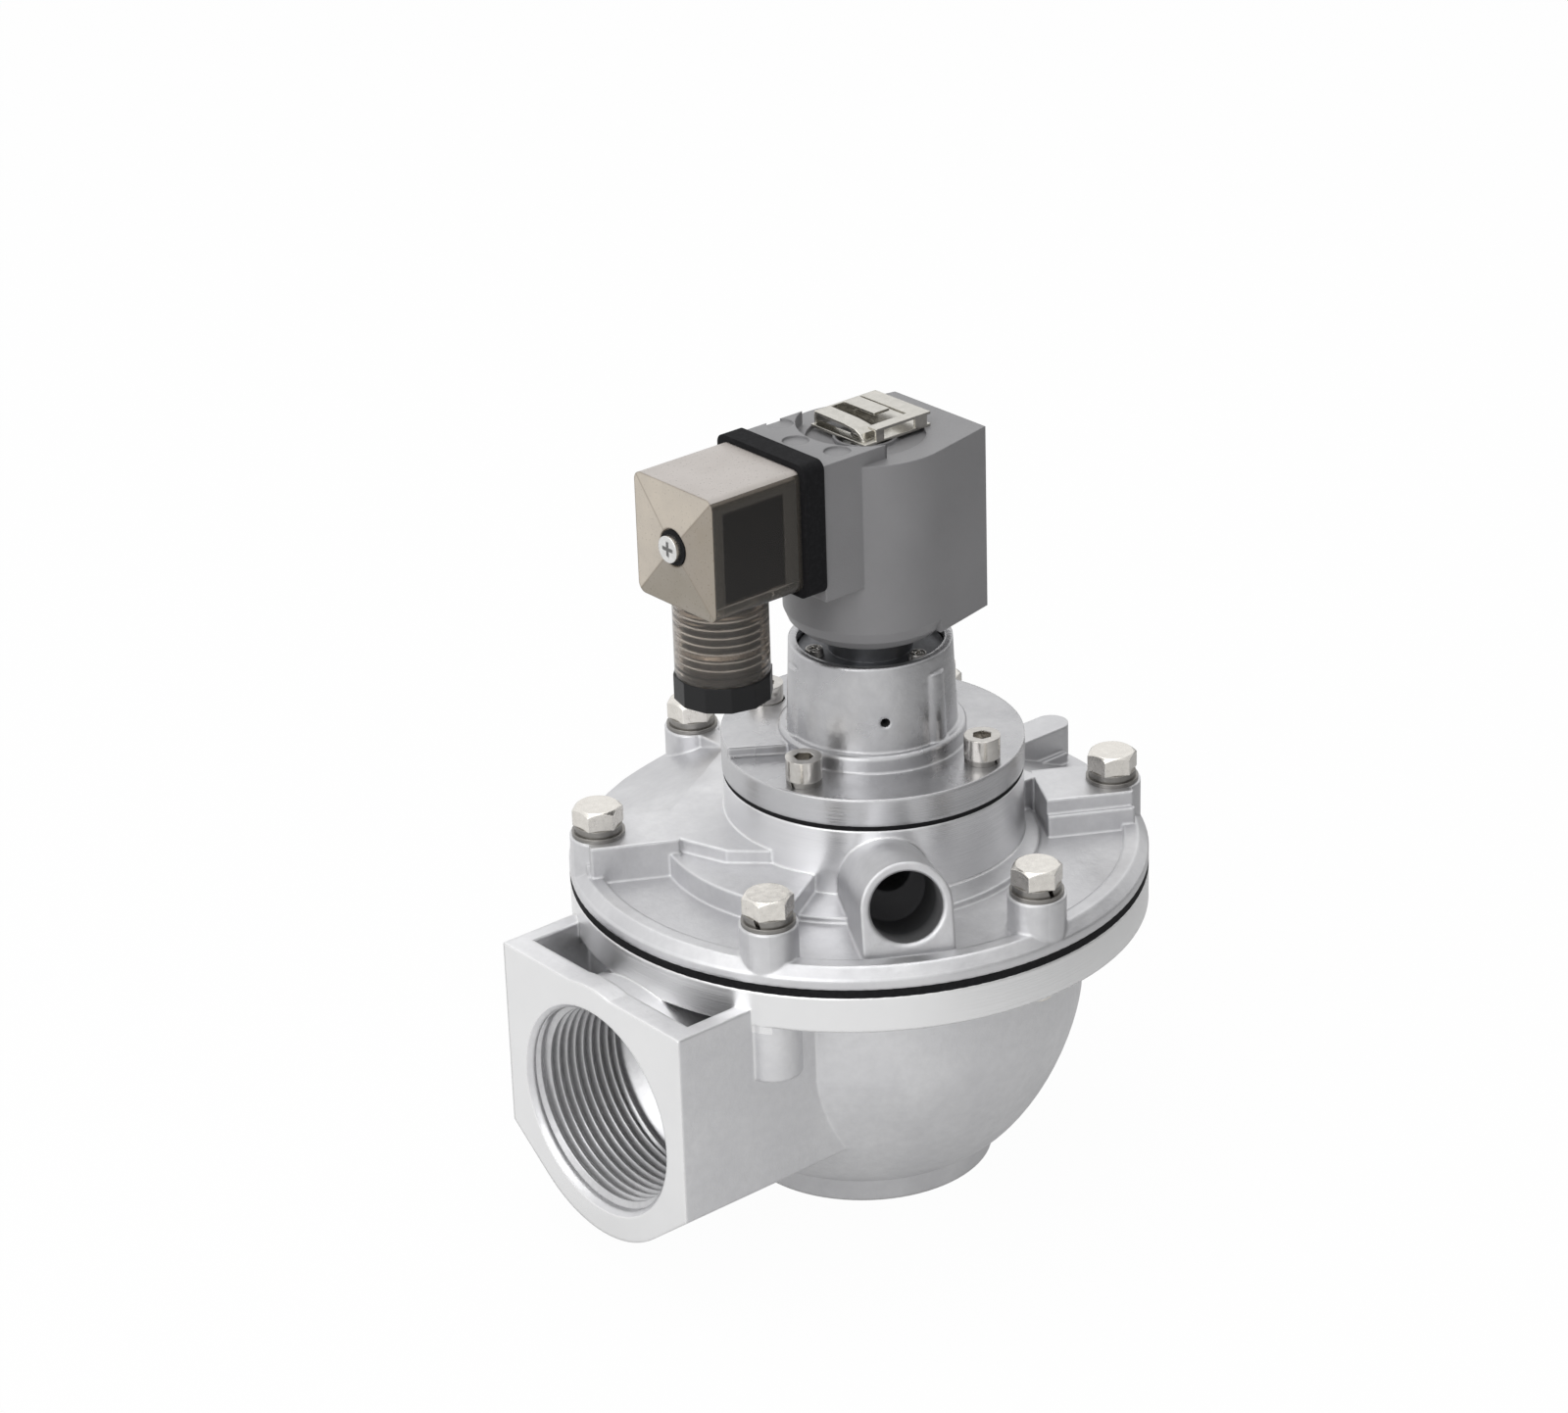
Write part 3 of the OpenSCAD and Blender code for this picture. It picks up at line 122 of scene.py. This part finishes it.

# Level directions: to the camera, to its right, and the way in which the painted shade on the mirrored
# floor deepens
TO_CAMERA = (-0.6357, -0.7719, 0.0)
CAMERA_RIGHT = (0.7719, -0.6357, 0.0)
FLOOR_FALL = (1.0262, -0.3269, 0.0)

# The stage, in metres
FLOOR_HALF = 6.0
FLOOR_Z = -0.0005
LAMP_AIM = (0, 0, 0.09)


class Graph:
    """The node tree of a material or a world, with short calls for the nodes used here."""

    def __init__(self, owner, output="ShaderNodeOutputMaterial", space="Object"):
        owner.use_nodes = True
        self.owner = owner
        self.tree = owner.node_tree
        self.tree.nodes.clear()
        self.out = self.add(output)
        self.coords = self.add("ShaderNodeTexCoord").outputs[space]

    def add(self, kind, **values):
        node = self.tree.nodes.new(kind)
        for key, value in values.items():
            setattr(node, key, value)
        return node

    def link(self, a, b):
        self.tree.links.new(a, b)

    def put(self, socket, value):
        if isinstance(value, bpy.types.NodeSocket):
            self.link(value, socket)
        else:
            socket.default_value = value

    def noise(self, scale, detail=3.0, rough=0.55, coords=None):
        node = self.add("ShaderNodeTexNoise")
        self.link(coords or self.coords, node.inputs["Vector"])
        node.inputs["Scale"].default_value = scale
        node.inputs["Detail"].default_value = detail
        node.inputs["Roughness"].default_value = rough
        return node.outputs["Fac"]

    def math(self, operation, a, b=0.0):
        node = self.add("ShaderNodeMath", operation=operation)
        self.put(node.inputs[0], a)
        self.put(node.inputs[1], b)
        return node.outputs[0]

    def times(self, a, b):
        return self.math("MULTIPLY", a, b)

    def minus(self, a, b):
        return self.math("SUBTRACT", a, b)

    def larger(self, a, b):
        return self.math("MAXIMUM", a, b)

    def above(self, a, limit):
        return self.math("GREATER_THAN", a, limit)

    def below(self, a, limit):
        return self.math("LESS_THAN", a, limit)

    def absolute(self, a):
        return self.math("ABSOLUTE", a)

    def length(self, a, b):
        return self.math("SQRT", self.math("ADD", self.times(a, a), self.times(b, b)))

    def ramp(self, value, low, high, a=0.0, b=1.0):
        """a at low, b at high, even between them and clamped beyond."""
        node = self.add("ShaderNodeMapRange")
        self.put(node.inputs["Value"], value)
        node.inputs["From Min"].default_value = low
        node.inputs["From Max"].default_value = high
        node.inputs["To Min"].default_value = a
        node.inputs["To Max"].default_value = b
        return node.outputs["Result"]

    def mix(self, fac, a, b):
        node = self.add("ShaderNodeMix", data_type="RGBA")
        self.put(node.inputs["Factor"], fac)
        self.put(node.inputs["A"], a)
        self.put(node.inputs["B"], b)
        return node.outputs["Result"]

    def mixed(self, fac, a, b):
        node = self.add("ShaderNodeMix", data_type="FLOAT")
        self.put(node.inputs["Factor"], fac)
        self.put(node.inputs["A"], a)
        self.put(node.inputs["B"], b)
        return node.outputs["Result"]

    def split(self, vector=None):
        node = self.add("ShaderNodeSeparateXYZ")
        self.link(vector or self.coords, node.inputs[0])
        return node.outputs

    def dot(self, direction):
        node = self.add("ShaderNodeVectorMath", operation="DOT_PRODUCT")
        self.link(self.coords, node.inputs[0])
        node.inputs[1].default_value = direction
        return node.outputs["Value"]

    def radius(self, centre_x=0.0):
        """Distance from a vertical axis, in metres."""
        x, y, _ = self.split()
        return self.length(self.minus(x, centre_x * MM), y)

    def along_z(self, scale):
        """Coordinates that change only with height, for the fine lines of a turned face."""
        node = self.add("ShaderNodeCombineXYZ")
        self.link(self.times(self.split()[2], scale), node.inputs[2])
        return node.outputs[0]

    def bevel(self, radius):
        node = self.add("ShaderNodeBevel", samples=6)
        node.inputs["Radius"].default_value = radius
        return node.outputs["Normal"]

    def edge(self, normal):
        """0 on flat ground, up to 1 along an edge that the bevel rounds."""
        true_normal = self.add("ShaderNodeNewGeometry").outputs["Normal"]
        node = self.add("ShaderNodeVectorMath", operation="DOT_PRODUCT")
        self.link(normal, node.inputs[0])
        self.link(true_normal, node.inputs[1])
        return self.ramp(node.outputs["Value"], 0.999, 0.85)

    def bump(self, height, strength, distance, normal):
        node = self.add("ShaderNodeBump")
        node.inputs["Strength"].default_value = strength
        node.inputs["Distance"].default_value = distance
        self.link(height, node.inputs["Height"])
        self.link(normal, node.inputs["Normal"])
        return node.outputs["Normal"]

    def rays(self):
        """Two masks: rays from the camera, and rays that a surface has mirrored or let through."""
        path = self.add("ShaderNodeLightPath").outputs
        mirrored = self.larger(path["Is Glossy Ray"], path["Is Transmission Ray"])
        return path["Is Camera Ray"], mirrored

    def shader(self, color, rough, metallic, normal, **values):
        """The finished material; values are further sockets by name."""
        node = self.add("ShaderNodeBsdfPrincipled")
        self.put(node.inputs["Base Color"], color)
        self.put(node.inputs["Roughness"], rough)
        node.inputs["Metallic"].default_value = metallic
        for key, value in values.items():
            self.put(node.inputs[key.replace("_", " ")], value)
        self.link(normal, node.inputs["Normal"])
        self.link(node.outputs[0], self.out.inputs["Surface"])
        return self.owner


def rgba(r, g, b):
    return (r, g, b, 1.0)


def tint(color, share=1.0, most=1.0):
    """The colour times share, with no channel above most."""
    return rgba(*[min(c * share, most) for c in color])


def cast_metal(name, light, dark, turned=None, rough=(0.34, 0.5), painted_shade=None, lift=1.0):
    """Die-cast aluminium: cloudy tone, fine skin, and a painted highlight along the rounded edges.

    turned masks the machined faces, whose tone is light times lift; the other mask marks painted
    shade, dark deep in a bore.
    """
    g = Graph(bpy.data.materials.new(name))
    cloud = g.ramp(g.noise(55, 4), 0.3, 0.7)
    grain = g.noise(1500, 2)
    skin = g.noise(420, 3, 0.6)
    round_normal = g.bevel(0.0011)
    edge = g.edge(round_normal)
    color = g.mix(cloud, tint(dark), tint(light))
    color = g.mix(g.ramp(skin, 0.35, 0.75, 0.0, 0.25), color, tint(dark, 0.8))
    # Painted highlight: the edges that the bevel rounds are mixed towards a lighter tone.
    color = g.mix(g.times(edge, 0.55), color, tint(light, 1.18, 0.93))
    roughness = g.ramp(cloud, 0.0, 1.0, rough[0], rough[1])
    height = g.math("ADD", g.times(grain, 0.35), skin)
    if turned is not None:
        mask = turned(g)
        color = g.mix(g.times(mask, 0.7), color, tint(light, lift, 0.93))
        roughness = g.mixed(mask, roughness, 0.27)
        height = g.mixed(mask, height, g.noise(1.0, 1, 0.5, g.along_z(5200)))
    if painted_shade is not None:
        # Painted shade: a dark colour deep in the bore, where little light reaches.
        shade_mask = painted_shade(g)
        color = g.mix(shade_mask, color, rgba(0.1, 0.1, 0.105))
        roughness = g.mixed(shade_mask, roughness, 0.75)
    normal = g.bump(height, 0.22, 0.0004, round_normal)
    return g.shader(color, roughness, 0.9, normal)


def body_turned(g):
    """The inlet face, the flange's rim and the outlet's end."""
    x, _, z = g.split()
    radius = g.radius()
    face = g.below(x, (INLET_X + 0.1) * MM)
    rim = g.times(g.above(radius, (FLANGE_R - 0.45) * MM), g.below(radius, (FLANGE_R + 0.1) * MM))
    rim = g.times(rim, g.above(z, FLANGE_LOW_Z * MM))
    return g.larger(g.larger(face, rim), g.below(z, 0.05 * MM))


def cover_turned(g):
    """The round wall of the pilot seat, and a little of the rim."""
    radius = g.radius(PILOT_X)
    rim = g.above(g.radius(), (FLANGE_R - 0.45) * MM)
    seat = g.times(g.above(radius, (SEAT_R - 0.3) * MM), g.below(radius, (SEAT_R + 0.3) * MM))
    return g.larger(g.times(rim, 0.2), seat)


def pilot_turned(g):
    """The rim of the pilot flange."""
    return g.above(g.radius(PILOT_X), SEAT_R * MM)


def exhaust_bore_shade(g):
    """Near 1 deep in the exhaust bore, where shade is painted dark into the casting."""
    tilt, turn = math.radians(EXHAUST_TILT), math.radians(EXHAUST_TURN)
    outward = Vector((math.cos(turn), math.sin(turn), 0))
    axis = outward * math.cos(tilt) + Vector((0, 0, math.sin(tilt)))
    mouth = (outward * EXHAUST_REACH + Vector((0, 0, EXHAUST_Z))) * MM
    side = axis.cross(Vector((0, 0, 1))).normalized()
    upright = side.cross(axis)
    depth, across, height = (g.minus(g.dot(d), d.dot(mouth)) for d in (axis, side, upright))
    inside = g.below(g.length(across, height), EXHAUST_R * MM)
    return g.times(inside, g.ramp(depth, -0.7 * MM, -9 * MM, 0.0, 0.95))


def plated(name, color, rough=0.24, spread=0.1, metallic=1.0, mark=None):
    """Plated steel with faint mottling, softened edges and a painted highlight along them; mark adds a
    stamped recess with painted shade in it.
    """
    g = Graph(bpy.data.materials.new(name))
    mottle = g.ramp(g.noise(700, 4), 0.3, 0.75)
    round_normal = g.bevel(0.00035)
    edge = g.edge(round_normal)
    tone = g.mix(mottle, tint(color, 0.86), tint(color))
    # Painted highlight along the edges that the bevel rounds.
    tone = g.mix(g.times(edge, 0.5), tone, tint(color, 1.2, 0.95))
    roughness = g.ramp(mottle, 0.0, 1.0, rough + spread, rough)
    normal = g.bump(g.noise(3500, 2), 0.12, 0.0001, round_normal)
    if mark is not None:
        recess = mark(g)
        # Painted shade in the stamped recess.
        tone = g.mix(recess, tone, tint(color, 0.2))
        normal = g.bump(g.minus(1.0, recess), 0.8, 0.0003, normal)
    return g.shader(tone, roughness, metallic, normal)


def cross_recess(g):
    """A soft-edged cross in the middle of the hood screw's head."""
    x, y, z = g.split()
    across = g.absolute(y)
    upward = g.absolute(g.minus(z, PLUG_Z * MM))
    narrow = g.ramp(g.math("MINIMUM", across, upward), 0.3 * MM, 0.55 * MM, 1.0, 0.0)
    inside = g.ramp(g.larger(across, upward), 1.5 * MM, 1.9 * MM, 1.0, 0.0)
    return g.times(g.times(narrow, inside), g.below(x, (SCREW_HEAD_X + 0.4) * MM))


def moulded(name, color, rough, grain, gloss=0.5):
    """Moulded plastic with a fine spark-eroded grain and a painted highlight along its edges."""
    g = Graph(bpy.data.materials.new(name))
    cloud = g.ramp(g.noise(40, 3), 0.3, 0.7)
    fine = g.noise(2600, 3, 0.6)
    round_normal = g.bevel(0.0006)
    edge = g.edge(round_normal)
    tone = g.mix(cloud, tint(color, 0.93), tint(color, 1.05))
    # Painted highlight along the edges that the bevel rounds.
    tone = g.mix(g.times(edge, 0.35), tone, tint(color, 1.5, 0.9))
    roughness = g.ramp(fine, 0.3, 0.7, rough - 0.06, rough + 0.06)
    normal = g.bump(fine, grain, 0.00025, round_normal)
    return g.shader(tone, roughness, 0.0, normal, Specular_IOR_Level=gloss)


def rubber(name, color):
    """Matt rubber with a fine grain and a trace of dust."""
    g = Graph(bpy.data.materials.new(name))
    dust = g.ramp(g.noise(900, 4), 0.45, 0.8)
    fine = g.noise(4000, 2)
    tone = g.mix(dust, tint(color), tint(color, 1.8))
    roughness = g.ramp(fine, 0.3, 0.7, 0.72, 0.92)
    normal = g.bump(fine, 0.3, 0.0002, g.bevel(0.0003))
    return g.shader(tone, roughness, 0.0, normal, Specular_IOR_Level=0.15)


def smoky(name):
    """Smoke-tinted hood: frosted front with four folds, frosted top, a window in each side."""
    g = Graph(bpy.data.materials.new(name))
    x, y, z = g.split()
    facing = g.split(g.add("ShaderNodeTexCoord").outputs["Normal"])
    height = g.minus(z, PLUG_Z * MM)
    across = g.math("DIVIDE", g.absolute(y), HOOD_HALF_W * MM)
    upward = g.math("DIVIDE", g.absolute(height), HOOD_HALF_H * MM)

    above_neck = g.above(z, (PLUG_Z - HOOD_HALF_H) * MM)
    front = g.times(g.below(facing[0], -0.7), above_neck)
    top = g.times(g.above(facing[2], 0.7), g.above(z, (HOOD_TOP_Z - 5.8) * MM))
    side = g.times(g.above(g.absolute(facing[1]), 0.7), above_neck)
    frosted = g.larger(front, top)

    beside = g.above(across, upward)
    right_facet = g.times(beside, g.below(y, 0.0))
    low_facet = g.times(g.minus(1.0, beside), g.below(height, 0.0))
    fold = g.ramp(g.absolute(g.minus(across, upward)), 0.0, 0.035, 1.0, 0.0)

    low, high = (corner[X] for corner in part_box("plug_hood"))
    along = g.absolute(g.minus(x, low + WINDOW_AT * (high - low)))
    along = g.math("DIVIDE", along, WINDOW_HALF * (high - low))
    beyond = g.ramp(g.larger(along, g.math("DIVIDE", upward, WINDOW_HEIGHT)), 0.96, 1.04)
    window = g.times(g.minus(1.0, beyond), side)
    window_frame = g.times(beyond, side)

    flow = g.ramp(g.noise(90, 4), 0.3, 0.75)
    clear = g.mix(flow, tint(NECK_DARK), tint(NECK_LIGHT))
    # Painted light and shade: the top lighter, the lower facet and the right facet darker, the right
    # one also for the dark insert behind it.
    frost = g.mix(right_facet, tint(FROST_LEFT), tint(FROST_RIGHT))
    frost = g.mix(low_facet, frost, tint(FROST_LOW))
    frost = g.mix(top, frost, tint(FROST_TOP))
    streaks = g.times(g.ramp(g.noise(130, 3), 0.35, 0.7), 0.35)
    frost = g.mix(streaks, frost, tint(FROST_STREAK))
    tone = g.mix(frosted, clear, frost)
    tone = g.mix(window_frame, tone, tint(WINDOW_FRAME_TONE))
    tone = g.mix(window, tone, tint(WINDOW_TONE))
    edge = g.times(g.edge(g.bevel(0.0007)), frosted)
    tone = g.mix(g.times(edge, 0.6), tone, tint(FROST_EDGE))
    # Painted shade along the four folds of the front.
    tone = g.mix(g.times(g.times(fold, front), 0.6), tone, tint(FROST_FOLD))

    fine = g.noise(1400, 2)
    polished = g.ramp(fine, 0.3, 0.7, 0.05, 0.1)
    matt = g.ramp(fine, 0.3, 0.7, 0.26, 0.36)
    pyramid = g.times(g.larger(across, upward), front)
    normal = g.bump(pyramid, 1.0, 0.0006, g.bevel(0.0007))
    normal = g.bump(fine, 0.06, 0.0002, normal)
    passed = g.mixed(frosted, g.mixed(window_frame, 0.95, 0.7), 0.05)
    return g.shader(tone, g.mixed(frosted, polished, matt), 0.0, normal, IOR=1.45,
                    Transmission_Weight=passed)


def use(material, *names):
    """Give the material to every slot of the named nodes."""
    for name in names:
        for slot in nodes[name].material_slots:
            slot.material = material


# One cast aluminium in three tones: the cover darker than the body, and the pilot housing under the
# coil darkest, as painted shade.
body_metal = cast_metal("cast_body", (0.79, 0.79, 0.80), (0.68, 0.68, 0.695), body_turned,
                        lift=1.18)
cover_metal = cast_metal("cast_cover", (0.72, 0.72, 0.73), (0.60, 0.60, 0.615), cover_turned,
                         painted_shade=exhaust_bore_shade, lift=1.25)
pilot_metal = cast_metal("cast_pilot", (0.60, 0.60, 0.61), (0.46, 0.46, 0.475), pilot_turned,
                         rough=(0.22, 0.34))
thread_metal = plated("cut_thread", (0.64, 0.64, 0.65), 0.3, 0.05, 0.75)
bolt_steel = plated("bolt_steel", (0.84, 0.81, 0.76), 0.2)
washer_steel = plated("washer_steel", (0.30, 0.29, 0.275), 0.3)
screw_steel = plated("screw_steel", (0.62, 0.60, 0.57), 0.12)
head_steel = plated("head_steel", (0.85, 0.85, 0.84), 0.2, mark=cross_recess)
bright_steel = plated("bright_steel", (0.66, 0.65, 0.64), 0.22)
clip_steel = plated("clip_steel", (0.66, 0.64, 0.59), 0.16)
dark_plate = plated("dark_plate", (0.26, 0.265, 0.28), 0.38)
black_rubber = rubber("black_rubber", (0.009, 0.009, 0.01))
web_rubber = rubber("web_rubber", (0.03, 0.03, 0.032))
coil_resin = moulded("coil_resin", (0.225, 0.223, 0.229), 0.4, 0.25)
black_plastic = moulded("black_plastic", (0.011, 0.011, 0.012), 0.36, 0.12, gloss=0.25)
hood_plastic = smoky("hood_plastic")

use(body_metal, "valve_body")
use(cover_metal, "cover")
use(pilot_metal, "pilot_housing")
use(bolt_steel, "cover_bolts")
use(washer_steel, "cover_spring_washers", "cover_flat_washers", "pilot_spring_washers")
use(screw_steel, "pilot_screws", "tube_plate_screws", "terminal_screws")
use(head_steel, "plug_screw")
use(bright_steel, "main_support_plate", "main_clamp_screw", "main_clamp_nut", "main_spring",
    "pilot_support_plate", "pilot_rivet", "pilot_spring", "armature_tube", "fixed_core",
    "armature", "armature_spring", "coil_blades", "gland_washer")
use(clip_steel, "retaining_clip")
use(dark_plate, "tube_plate")
use(web_rubber, "main_diaphragm_web", "main_seal_pad", "pilot_diaphragm_web", "pilot_seal_pad")
use(black_rubber, "main_diaphragm_rim", "pilot_diaphragm_rim", "tube_oring", "armature_seal",
    "plug_gasket", "plug_screw_seal", "gland_seal")
use(coil_resin, "coil_body")
use(black_plastic, "contact_insert", "gland_nut")
use(hood_plastic, "plug_hood")


def piece(name, verts, faces, material, body, smooth):
    """A mesh that rides with its body; edges sharper than smooth, in degrees, stay hard."""
    mesh = bpy.data.meshes.new(name)
    mesh.from_pydata([tuple(v) for v in verts], [], faces)
    mesh.update()
    bm = bmesh.new()
    bm.from_mesh(mesh)
    bmesh.ops.recalc_face_normals(bm, faces=bm.faces)
    bm.to_mesh(mesh)
    bm.free()
    obj = bpy.data.objects.new(name, mesh)
    bpy.context.scene.collection.objects.link(obj)
    mesh.materials.append(material)
    mesh.shade_smooth()
    mesh.set_sharp_from_angle(angle=math.radians(smooth))
    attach(obj, body)
    return obj


def swept(rings, sides, closed=False):
    """Faces over vertices listed ring by ring; closed joins the last ring to the first."""
    faces = []
    for i in range(rings if closed else rings - 1):
        after = (i + 1) % rings
        for j in range(sides):
            k = (j + 1) % sides
            faces.append((i * sides + j, i * sides + k, after * sides + k, after * sides + j))
    if not closed:
        faces.append(tuple(range(sides)))
        faces.append(tuple((rings - 1) * sides + j for j in reversed(range(sides))))
    return faces


def around(centre_x, r, turn, z):
    """The point at radius r and angle turn round a vertical axis, from millimetres to metres."""
    return Vector((centre_x + r * math.cos(turn), r * math.sin(turn), z)) * MM


def thread(name, place, length, body):
    """A helical ridge whose foot is sunk into a bore's wall; place maps (x, y, along) to the model."""
    steps, sunk = 120, 0.03
    fade_steps = 0.4 * steps
    count = int((length / THREAD_PITCH - 1.2) * steps)
    half, flat = THREAD_PITCH * 0.47, THREAD_PITCH * 0.09
    foot = THREAD_ROOT_R + sunk
    verts = []
    for i in range(count + 1):
        t = i / steps
        turn = 2 * math.pi * t
        fade = min(1.0, i / fade_steps, (count - i) / fade_steps)
        z = half + THREAD_PITCH * 0.1 + t * THREAD_PITCH
        crest = foot - (foot - THREAD_CREST_R) * max(fade, 0.02)
        for r, dz in ((foot, -half), (crest, -flat), (crest, flat), (foot, half)):
            verts.append(place(r * math.cos(turn), r * math.sin(turn), z + dz) * MM)
    piece(name, verts, swept(count + 1, 4), thread_metal, body, 30)


def middle(node):
    """The x of a round node's axis and the node's radius, in millimetres."""
    left, right = extent(node, X)
    return (left + right) / 2, (right - left) / 2


def wire_spring(node, wire, turns, joint, stroke, body, slot):
    """A coil spring with closed ends in its node's place, pressed against its upper end."""
    low, high = (corner[Z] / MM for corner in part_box(node))
    centre_x, outer_r = middle(node)
    steps, sides, dead = 48, 12, 0.75
    count = int(turns * steps)
    dead_rise = 0.5 * wire * dead
    slope = (high - low - wire - 2 * dead_rise) / (turns - 2 * dead)
    verts = []
    for i in range(count + 1):
        t = i / steps
        z = min(t, dead) / dead * dead_rise + max(0.0, min(t, turns - dead) - dead) * slope
        z += max(0.0, t - turns + dead) / dead * dead_rise + low + wire / 2
        for j in range(sides):
            b = 2 * math.pi * j / sides
            verts.append(around(centre_x, outer_r - wire / 2 + wire / 2 * math.cos(b),
                                2 * math.pi * t, z + wire / 2 * math.sin(b)))
    obj = piece(node + "_wire", verts, swept(count + 1, sides), bright_steel, body, 40)
    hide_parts(node)
    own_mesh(obj)


def turned_ring(name, outline, centre_x, material, body):
    """A closed ring turned round a vertical axis from an outline of (radius, height) points."""
    steps = 128
    turns = [2 * math.pi * i / steps for i in range(steps)]
    verts = [around(centre_x, r, turn, z) for turn in turns for r, z in outline]
    return piece(name, verts, swept(steps, len(outline), closed=True), material, body, 30)


def web(node, hole_r, inner_r, outer_r, thick, step, joint, stroke, body, slot):
    """A diaphragm's web in its node's place.

    The hub moves with the plates, and the cone, which rises to the clamped rim, moves with them as one
    rigid piece.
    """
    low, high = (corner[Z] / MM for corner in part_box(node))
    centre_x, edge_r = middle(node)
    hub_r, top = inner_r - step, low + thick
    hub = turned_ring(node + "_hub", [(hole_r, low), (hub_r, low), (hub_r, top), (hole_r, top)],
                      centre_x, web_rubber, body)
    cone = turned_ring(node + "_cone", [(hub_r, low), (inner_r, low), (outer_r, high - thick),
                                        (edge_r, high - thick), (edge_r, high),
                                        (outer_r - step, high), (hub_r, top)],
                       centre_x, web_rubber, body)
    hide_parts(node)
    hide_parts(node)
    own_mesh(cone)


thread("outlet_thread", lambda x, y, z: Vector((x, y, z)), OUTLET_DEPTH, "valve")
thread("inlet_thread", lambda x, y, z: Vector((INLET_X + INLET_LEAD + z, y, INLET_Z + x)), INLET_DEPTH,
       "valve")
web("main_diaphragm_web", hole_r=4.05, inner_r=31.0, outer_r=44.5, thick=2.0, step=0.8,
    slot="diaphragm_rubber", **MAIN)
web("pilot_diaphragm_web", hole_r=2.55, inner_r=14.0, outer_r=23.6, thick=1.2, step=0.5,
    slot="diaphragm_rubber", **PILOT)
wire_spring("main_spring", wire=1.8, turns=3.5, slot="steel", **MAIN)
wire_spring("pilot_spring", wire=1.0, turns=2.5, slot="steel", **PILOT)
wire_spring("armature_spring", wire=0.7, turns=6, slot="steel", **ARMATURE)


def floor_material():
    """Even white to the camera; in the metal it glows with painted shade, darker to the right, and
    with a painted contact shadow close to the valve.
    """
    g = Graph(bpy.data.materials.new("floor"))
    seen, mirrored = g.rays()
    diffuse = g.add("ShaderNodeBsdfDiffuse")
    diffuse.inputs["Color"].default_value = rgba(0.8, 0.8, 0.8)
    # Painted shade for mirrored rays: the glow falls off to the right, and a painted contact shadow
    # darkens it close to the valve.
    level = g.ramp(g.dot(FLOOR_FALL), -0.05, 0.45, 0.86, 0.05)
    level = g.times(level, g.ramp(g.radius(), 0.02, 0.11, 0.6, 1.0))
    glow = g.add("ShaderNodeEmission")
    g.link(g.mixed(seen, level, 1.0), glow.inputs["Strength"])
    blend = g.add("ShaderNodeMixShader")
    g.link(g.mixed(seen, g.times(mirrored, 0.8), 0.97), blend.inputs[0])
    g.link(diffuse.outputs[0], blend.inputs[1])
    g.link(glow.outputs[0], blend.inputs[2])
    g.link(blend.outputs[0], g.out.inputs["Surface"])
    return g.owner


def studio_floor():
    """A wide floor just under the valve, which is stage and no part of the model."""
    mesh = bpy.data.meshes.new("floor")
    corners = [(x * FLOOR_HALF, y * FLOOR_HALF, FLOOR_Z)
               for x, y in ((-1, -1), (1, -1), (1, 1), (-1, 1))]
    mesh.from_pydata(corners, [], [(0, 1, 2, 3)])
    obj = bpy.data.objects.new("floor", mesh)
    bpy.context.scene.collection.objects.link(obj)
    mesh.materials.append(floor_material())


def studio_world():
    """White backdrop behind the valve; the room round the camera darkens to the right."""
    world = bpy.data.worlds.new("studio")
    bpy.context.scene.world = world
    g = Graph(world, "ShaderNodeOutputWorld", "Generated")
    seen, mirrored = g.rays()
    to_back = g.times(g.dot(TO_CAMERA), -1.0)
    side = g.ramp(g.dot(CAMERA_RIGHT), 0.3, 0.9, 1.0, 0.15)
    room = g.mixed(g.ramp(g.split()[2], 0.45, 0.95), side, 0.9)
    shown = g.mixed(g.ramp(to_back, 0.12, 0.75), room, 1.0)
    level = g.mixed(mirrored, g.times(room, 0.75), shown)
    back = g.add("ShaderNodeBackground")
    back.inputs["Color"].default_value = rgba(1, 1, 1)
    g.link(g.mixed(seen, level, 1.0), back.inputs["Strength"])
    g.link(back.outputs[0], g.out.inputs["Surface"])


def lamp(name, place, width, power):
    """A square area lamp that faces the valve, in metres and watts."""
    light = bpy.data.lights.new(name, "AREA")
    light.shape = "RECTANGLE"
    light.size = light.size_y = width
    light.energy = power
    obj = bpy.data.objects.new(name, light)
    bpy.context.scene.collection.objects.link(obj)
    obj.location = place
    obj.rotation_euler = (Vector(LAMP_AIM) - Vector(place)).to_track_quat("-Z", "Y").to_euler()


def photo_camera():
    """The camera that sees the valve as the photograph does."""
    azimuth, elevation, roll = (math.radians(a) for a in (AZIMUTH, ELEVATION, ROLL))
    backward = Vector((math.sin(azimuth) * math.cos(elevation),
                       -math.cos(azimuth) * math.cos(elevation), math.sin(elevation)))
    level = Vector((math.cos(azimuth), math.sin(azimuth), 0))
    upright = backward.cross(level)
    right = level * math.cos(roll) + upright * math.sin(roll)
    up = upright * math.cos(roll) - level * math.sin(roll)
    place = (Vector((0, 0, AIM_Z)) - level * AIM_LEFT + backward * DISTANCE) * MM
    data = bpy.data.cameras.new("camera")
    data.sensor_width = SENSOR_W
    data.lens = FOCAL_PX / FRAME_PX * SENSOR_W
    data.clip_end = 50
    obj = bpy.data.objects.new("camera", data)
    bpy.context.scene.collection.objects.link(obj)
    obj.matrix_world = Matrix((
        (right.x, up.x, backward.x, place.x),
        (right.y, up.y, backward.y, place.y),
        (right.z, up.z, backward.z, place.z),
        (0, 0, 0, 1)))
    bpy.context.scene.camera = obj


studio_floor()
studio_world()
lamp("key", (-1.35, -0.35, 0.9), 1.3, 8)
lamp("top", (0.0, 0.2, 1.6), 1.2, 8)
photo_camera()
bpy.context.scene.view_settings.view_transform = "Standard"
